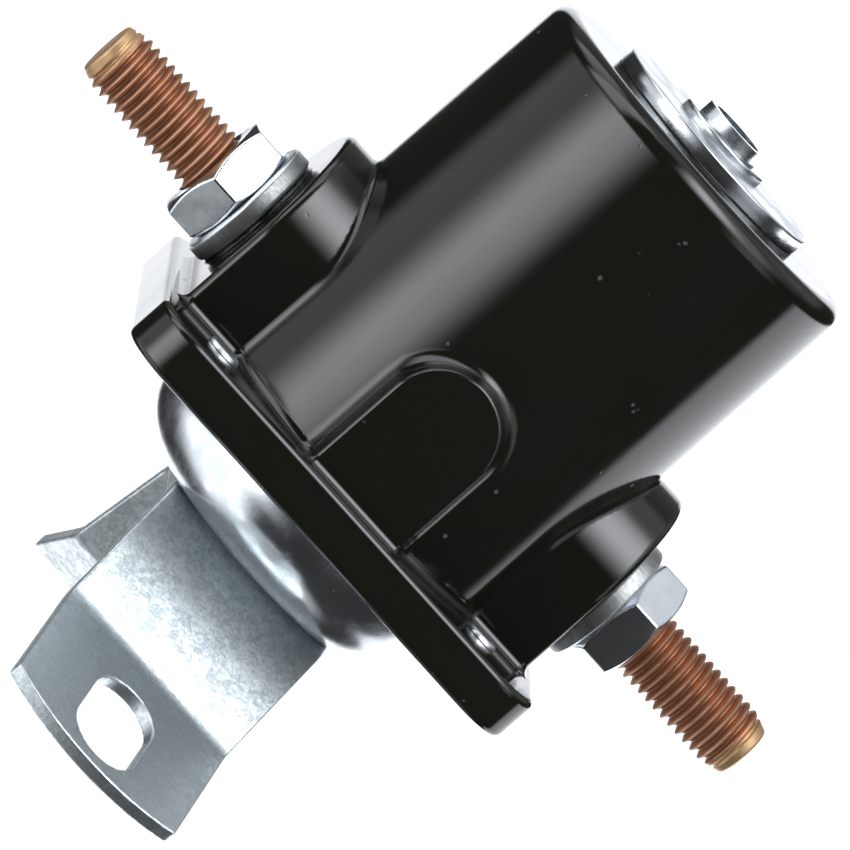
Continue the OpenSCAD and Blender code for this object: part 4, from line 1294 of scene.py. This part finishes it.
def make_floor():
    """A round white floor that keeps a faint shadow and stays out of reflections."""
    mesh = bmesh.new()
    bmesh.ops.create_circle(mesh, cap_ends=True, segments=96, radius=settings("studio").floor_r)
    data = bpy.data.meshes.new("Floor")
    mesh.to_mesh(data)
    mesh.free()
    floor = bpy.data.objects.new("Floor", data)
    bpy.context.scene.collection.objects.link(floor)
    material = bpy.data.materials.new("Floor")
    material.use_nodes = True
    material.node_tree.nodes.clear()
    n = Nodes(material.node_tree)
    path = n.add("ShaderNodeLightPath").outputs
    lit = n.add("ShaderNodeBsdfDiffuse", {"Color": (*FLOOR_SHADE, 1)}).outputs[0]
    glow = n.add("ShaderNodeEmission", {"Color": (1, 1, 1, 1), "Strength": FLOOR_GLOW}).outputs[0]
    white = n.add("ShaderNodeAddShader", {0: lit, 1: glow}).outputs[0]
    clear = n.add("ShaderNodeBsdfTransparent").outputs[0]
    shown = n.add("ShaderNodeMixShader", {0: path["Is Glossy Ray"], 1: white, 2: clear}).outputs[0]
    n.add("ShaderNodeOutputMaterial", {"Surface": shown})
    data.materials.append(material)


# Soft boxes of the studio: (azimuth, half width, softness) and (elevation, half height, softness) in
# degrees, and strength. Azimuth 0 is the front, 90 the right.
SOFT_BOXES = {
    "key": ((19, 22, 36), (55.5, 17.5, 32), 8.4),
    "right of the key": ((57, 19, 36), (54, 20, 32), 1.6),
    "right": ((95, 38, 40), (54, 24, 30), 0.5),
    "right low": ((51, 16, 24), (19, 20, 5), 0.95),
    "left": ((-75, 17, 12), (36, 28, 16), 2.9),
    "left back": ((-113, 17, 12), (42, 17, 14), 1.7),
    "left high": ((-70, 28, 12), (66, 7, 8), 1.0),
    "left strip": ((-51, 17.5, 28), (-9, 9, 8), 4.3),
    "left strip edge": ((-80, 28, 16), (-9, 9, 8), 0.95),
    "left low": ((-76, 40, 26), (-44, 25, 14), 1.5),
    "front low": ((-36, 22, 20), (-21, 7, 8), 0.5),
    "right back": ((135, 36, 8), (-20, 19.5, 5), 1.95),
    "back": ((175.5, 15.5, 6), (-14, 38, 8), 1.65),
    "back high": ((180, 60, 20), (50, 26, 10), 0.2),
    "overhead": ((0, 200, 2), (90, 20, 12), 0.65),
    "below": ((0, 200, 2), (-90, 29, 8), 0.42),
}

# Light between the soft boxes
STUDIO_DARK = 0.03


def make_studio():
    """A world of soft boxes, white where the camera looks."""
    world = bpy.data.worlds.new("Studio")
    world.use_nodes = True
    bpy.context.scene.world = world
    world.node_tree.nodes.clear()
    n = Nodes(world.node_tree)
    way = n.add("ShaderNodeTexCoord").outputs["Generated"]
    parts = n.add("ShaderNodeSeparateXYZ", {0: way}).outputs
    azimuth = n.math("DEGREES", n.math("ARCTAN2", parts["X"], n.math("MULTIPLY", parts["Y"], -1.0)))
    elevation = n.math("DEGREES", n.math("ARCSINE", parts["Z"]))
    level = STUDIO_DARK
    for (az, half_w, soft_w), (el, half_h, soft_h), strength in SOFT_BOXES.values():
        off = n.math("WRAP", n.math("SUBTRACT", azimuth, az), 180.0, -180.0)
        across = n.between(n.math("ABSOLUTE", off), half_w - soft_w / 2, half_w + soft_w / 2, 1.0, 0.0)
        off = n.math("ABSOLUTE", n.math("SUBTRACT", elevation, el))
        upright = n.between(off, half_h - soft_h / 2, half_h + soft_h / 2, 1.0, 0.0)
        level = n.math("ADD", level, n.math("MULTIPLY", n.math("MULTIPLY", across, upright), strength))
    path = n.add("ShaderNodeLightPath").outputs
    tint = opaque(settings("studio").tint)
    light = n.add("ShaderNodeBackground", {"Color": tint, "Strength": level}).outputs[0]
    white = n.add("ShaderNodeBackground", {"Color": (1, 1, 1, 1), "Strength": 1.0}).outputs[0]
    shown = n.add("ShaderNodeMixShader", {0: path["Is Camera Ray"], 1: light, 2: white}).outputs[0]
    n.add("ShaderNodeOutputWorld", {"Surface": shown})


def make_camera():
    """The camera, rolled as the picture is."""
    studio = settings("studio")
    az, el, roll = studio.azimuth, studio.elevation, studio.roll
    look = Vector((-math.sin(az) * math.cos(el), math.cos(az) * math.cos(el), -math.sin(el)))
    level_right = look.cross(Vector((0, 0, 1))).normalized()
    level_up = level_right.cross(look)
    right = math.cos(roll) * level_right - math.sin(roll) * level_up
    up = math.sin(roll) * level_right + math.cos(roll) * level_up
    aim = Vector((0, 0, studio.aim_h)) + studio.aim_right * right + studio.aim_up * up
    data = bpy.data.cameras.new("Camera")
    data.lens = studio.lens
    data.sensor_width = studio.sensor
    data.clip_start = 0.01
    data.clip_end = 10
    camera = bpy.data.objects.new("Camera", data)
    bpy.context.scene.collection.objects.link(camera)
    turn = Matrix((right, up, -look)).transposed()
    camera.matrix_world = Matrix.Translation(aim - studio.distance * look) @ turn.to_4x4()
    bpy.context.scene.camera = camera


OPERATORS = (
    RELAY_OT_stage,
    RELAY_OT_case,
    RELAY_OT_cover,
    RELAY_OT_bracket,
    RELAY_OT_studs,
    RELAY_OT_nuts,
    RELAY_OT_washers,
    RELAY_OT_top,
    RELAY_OT_rivets,
    RELAY_OT_springs,
    RELAY_OT_inner,
)


class RELAY_PT_panel(Panel):
    """Buttons for the relay's pieces"""

    bl_idname = "RELAY_PT_panel"
    bl_label = "Relay"
    bl_space_type = "VIEW_3D"
    bl_region_type = "UI"
    bl_category = "Relay"

    def draw(self, context):
        for operator in OPERATORS:
            self.layout.operator(operator.bl_idname)


GROUPS = {
    "relay_case": CaseSizes,
    "relay_metal": MetalSizes,
    "relay_mesh": MeshSettings,
    "relay_finishes": Finishes,
    "relay_studio": StudioSettings,
}


def register():
    """Make the settings, the operators and the panel known."""
    for name, group in GROUPS.items():
        bpy.utils.register_class(group)
        setattr(bpy.types.Scene, name, PointerProperty(type=group))
    for operator in OPERATORS:
        bpy.utils.register_class(operator)
    bpy.utils.register_class(RELAY_PT_panel)


def unregister():
    """Take the panel, the operators and the settings away."""
    bpy.utils.unregister_class(RELAY_PT_panel)
    for operator in reversed(OPERATORS):
        bpy.utils.unregister_class(operator)
    for name, group in GROUPS.items():
        delattr(bpy.types.Scene, name)
        bpy.utils.unregister_class(group)


def main():
    """Build every piece and the stage."""
    register()
    for operator in OPERATORS:
        getattr(bpy.ops.relay, operator.bl_idname.split(".")[1])()


if __name__ == "__main__":
    main()
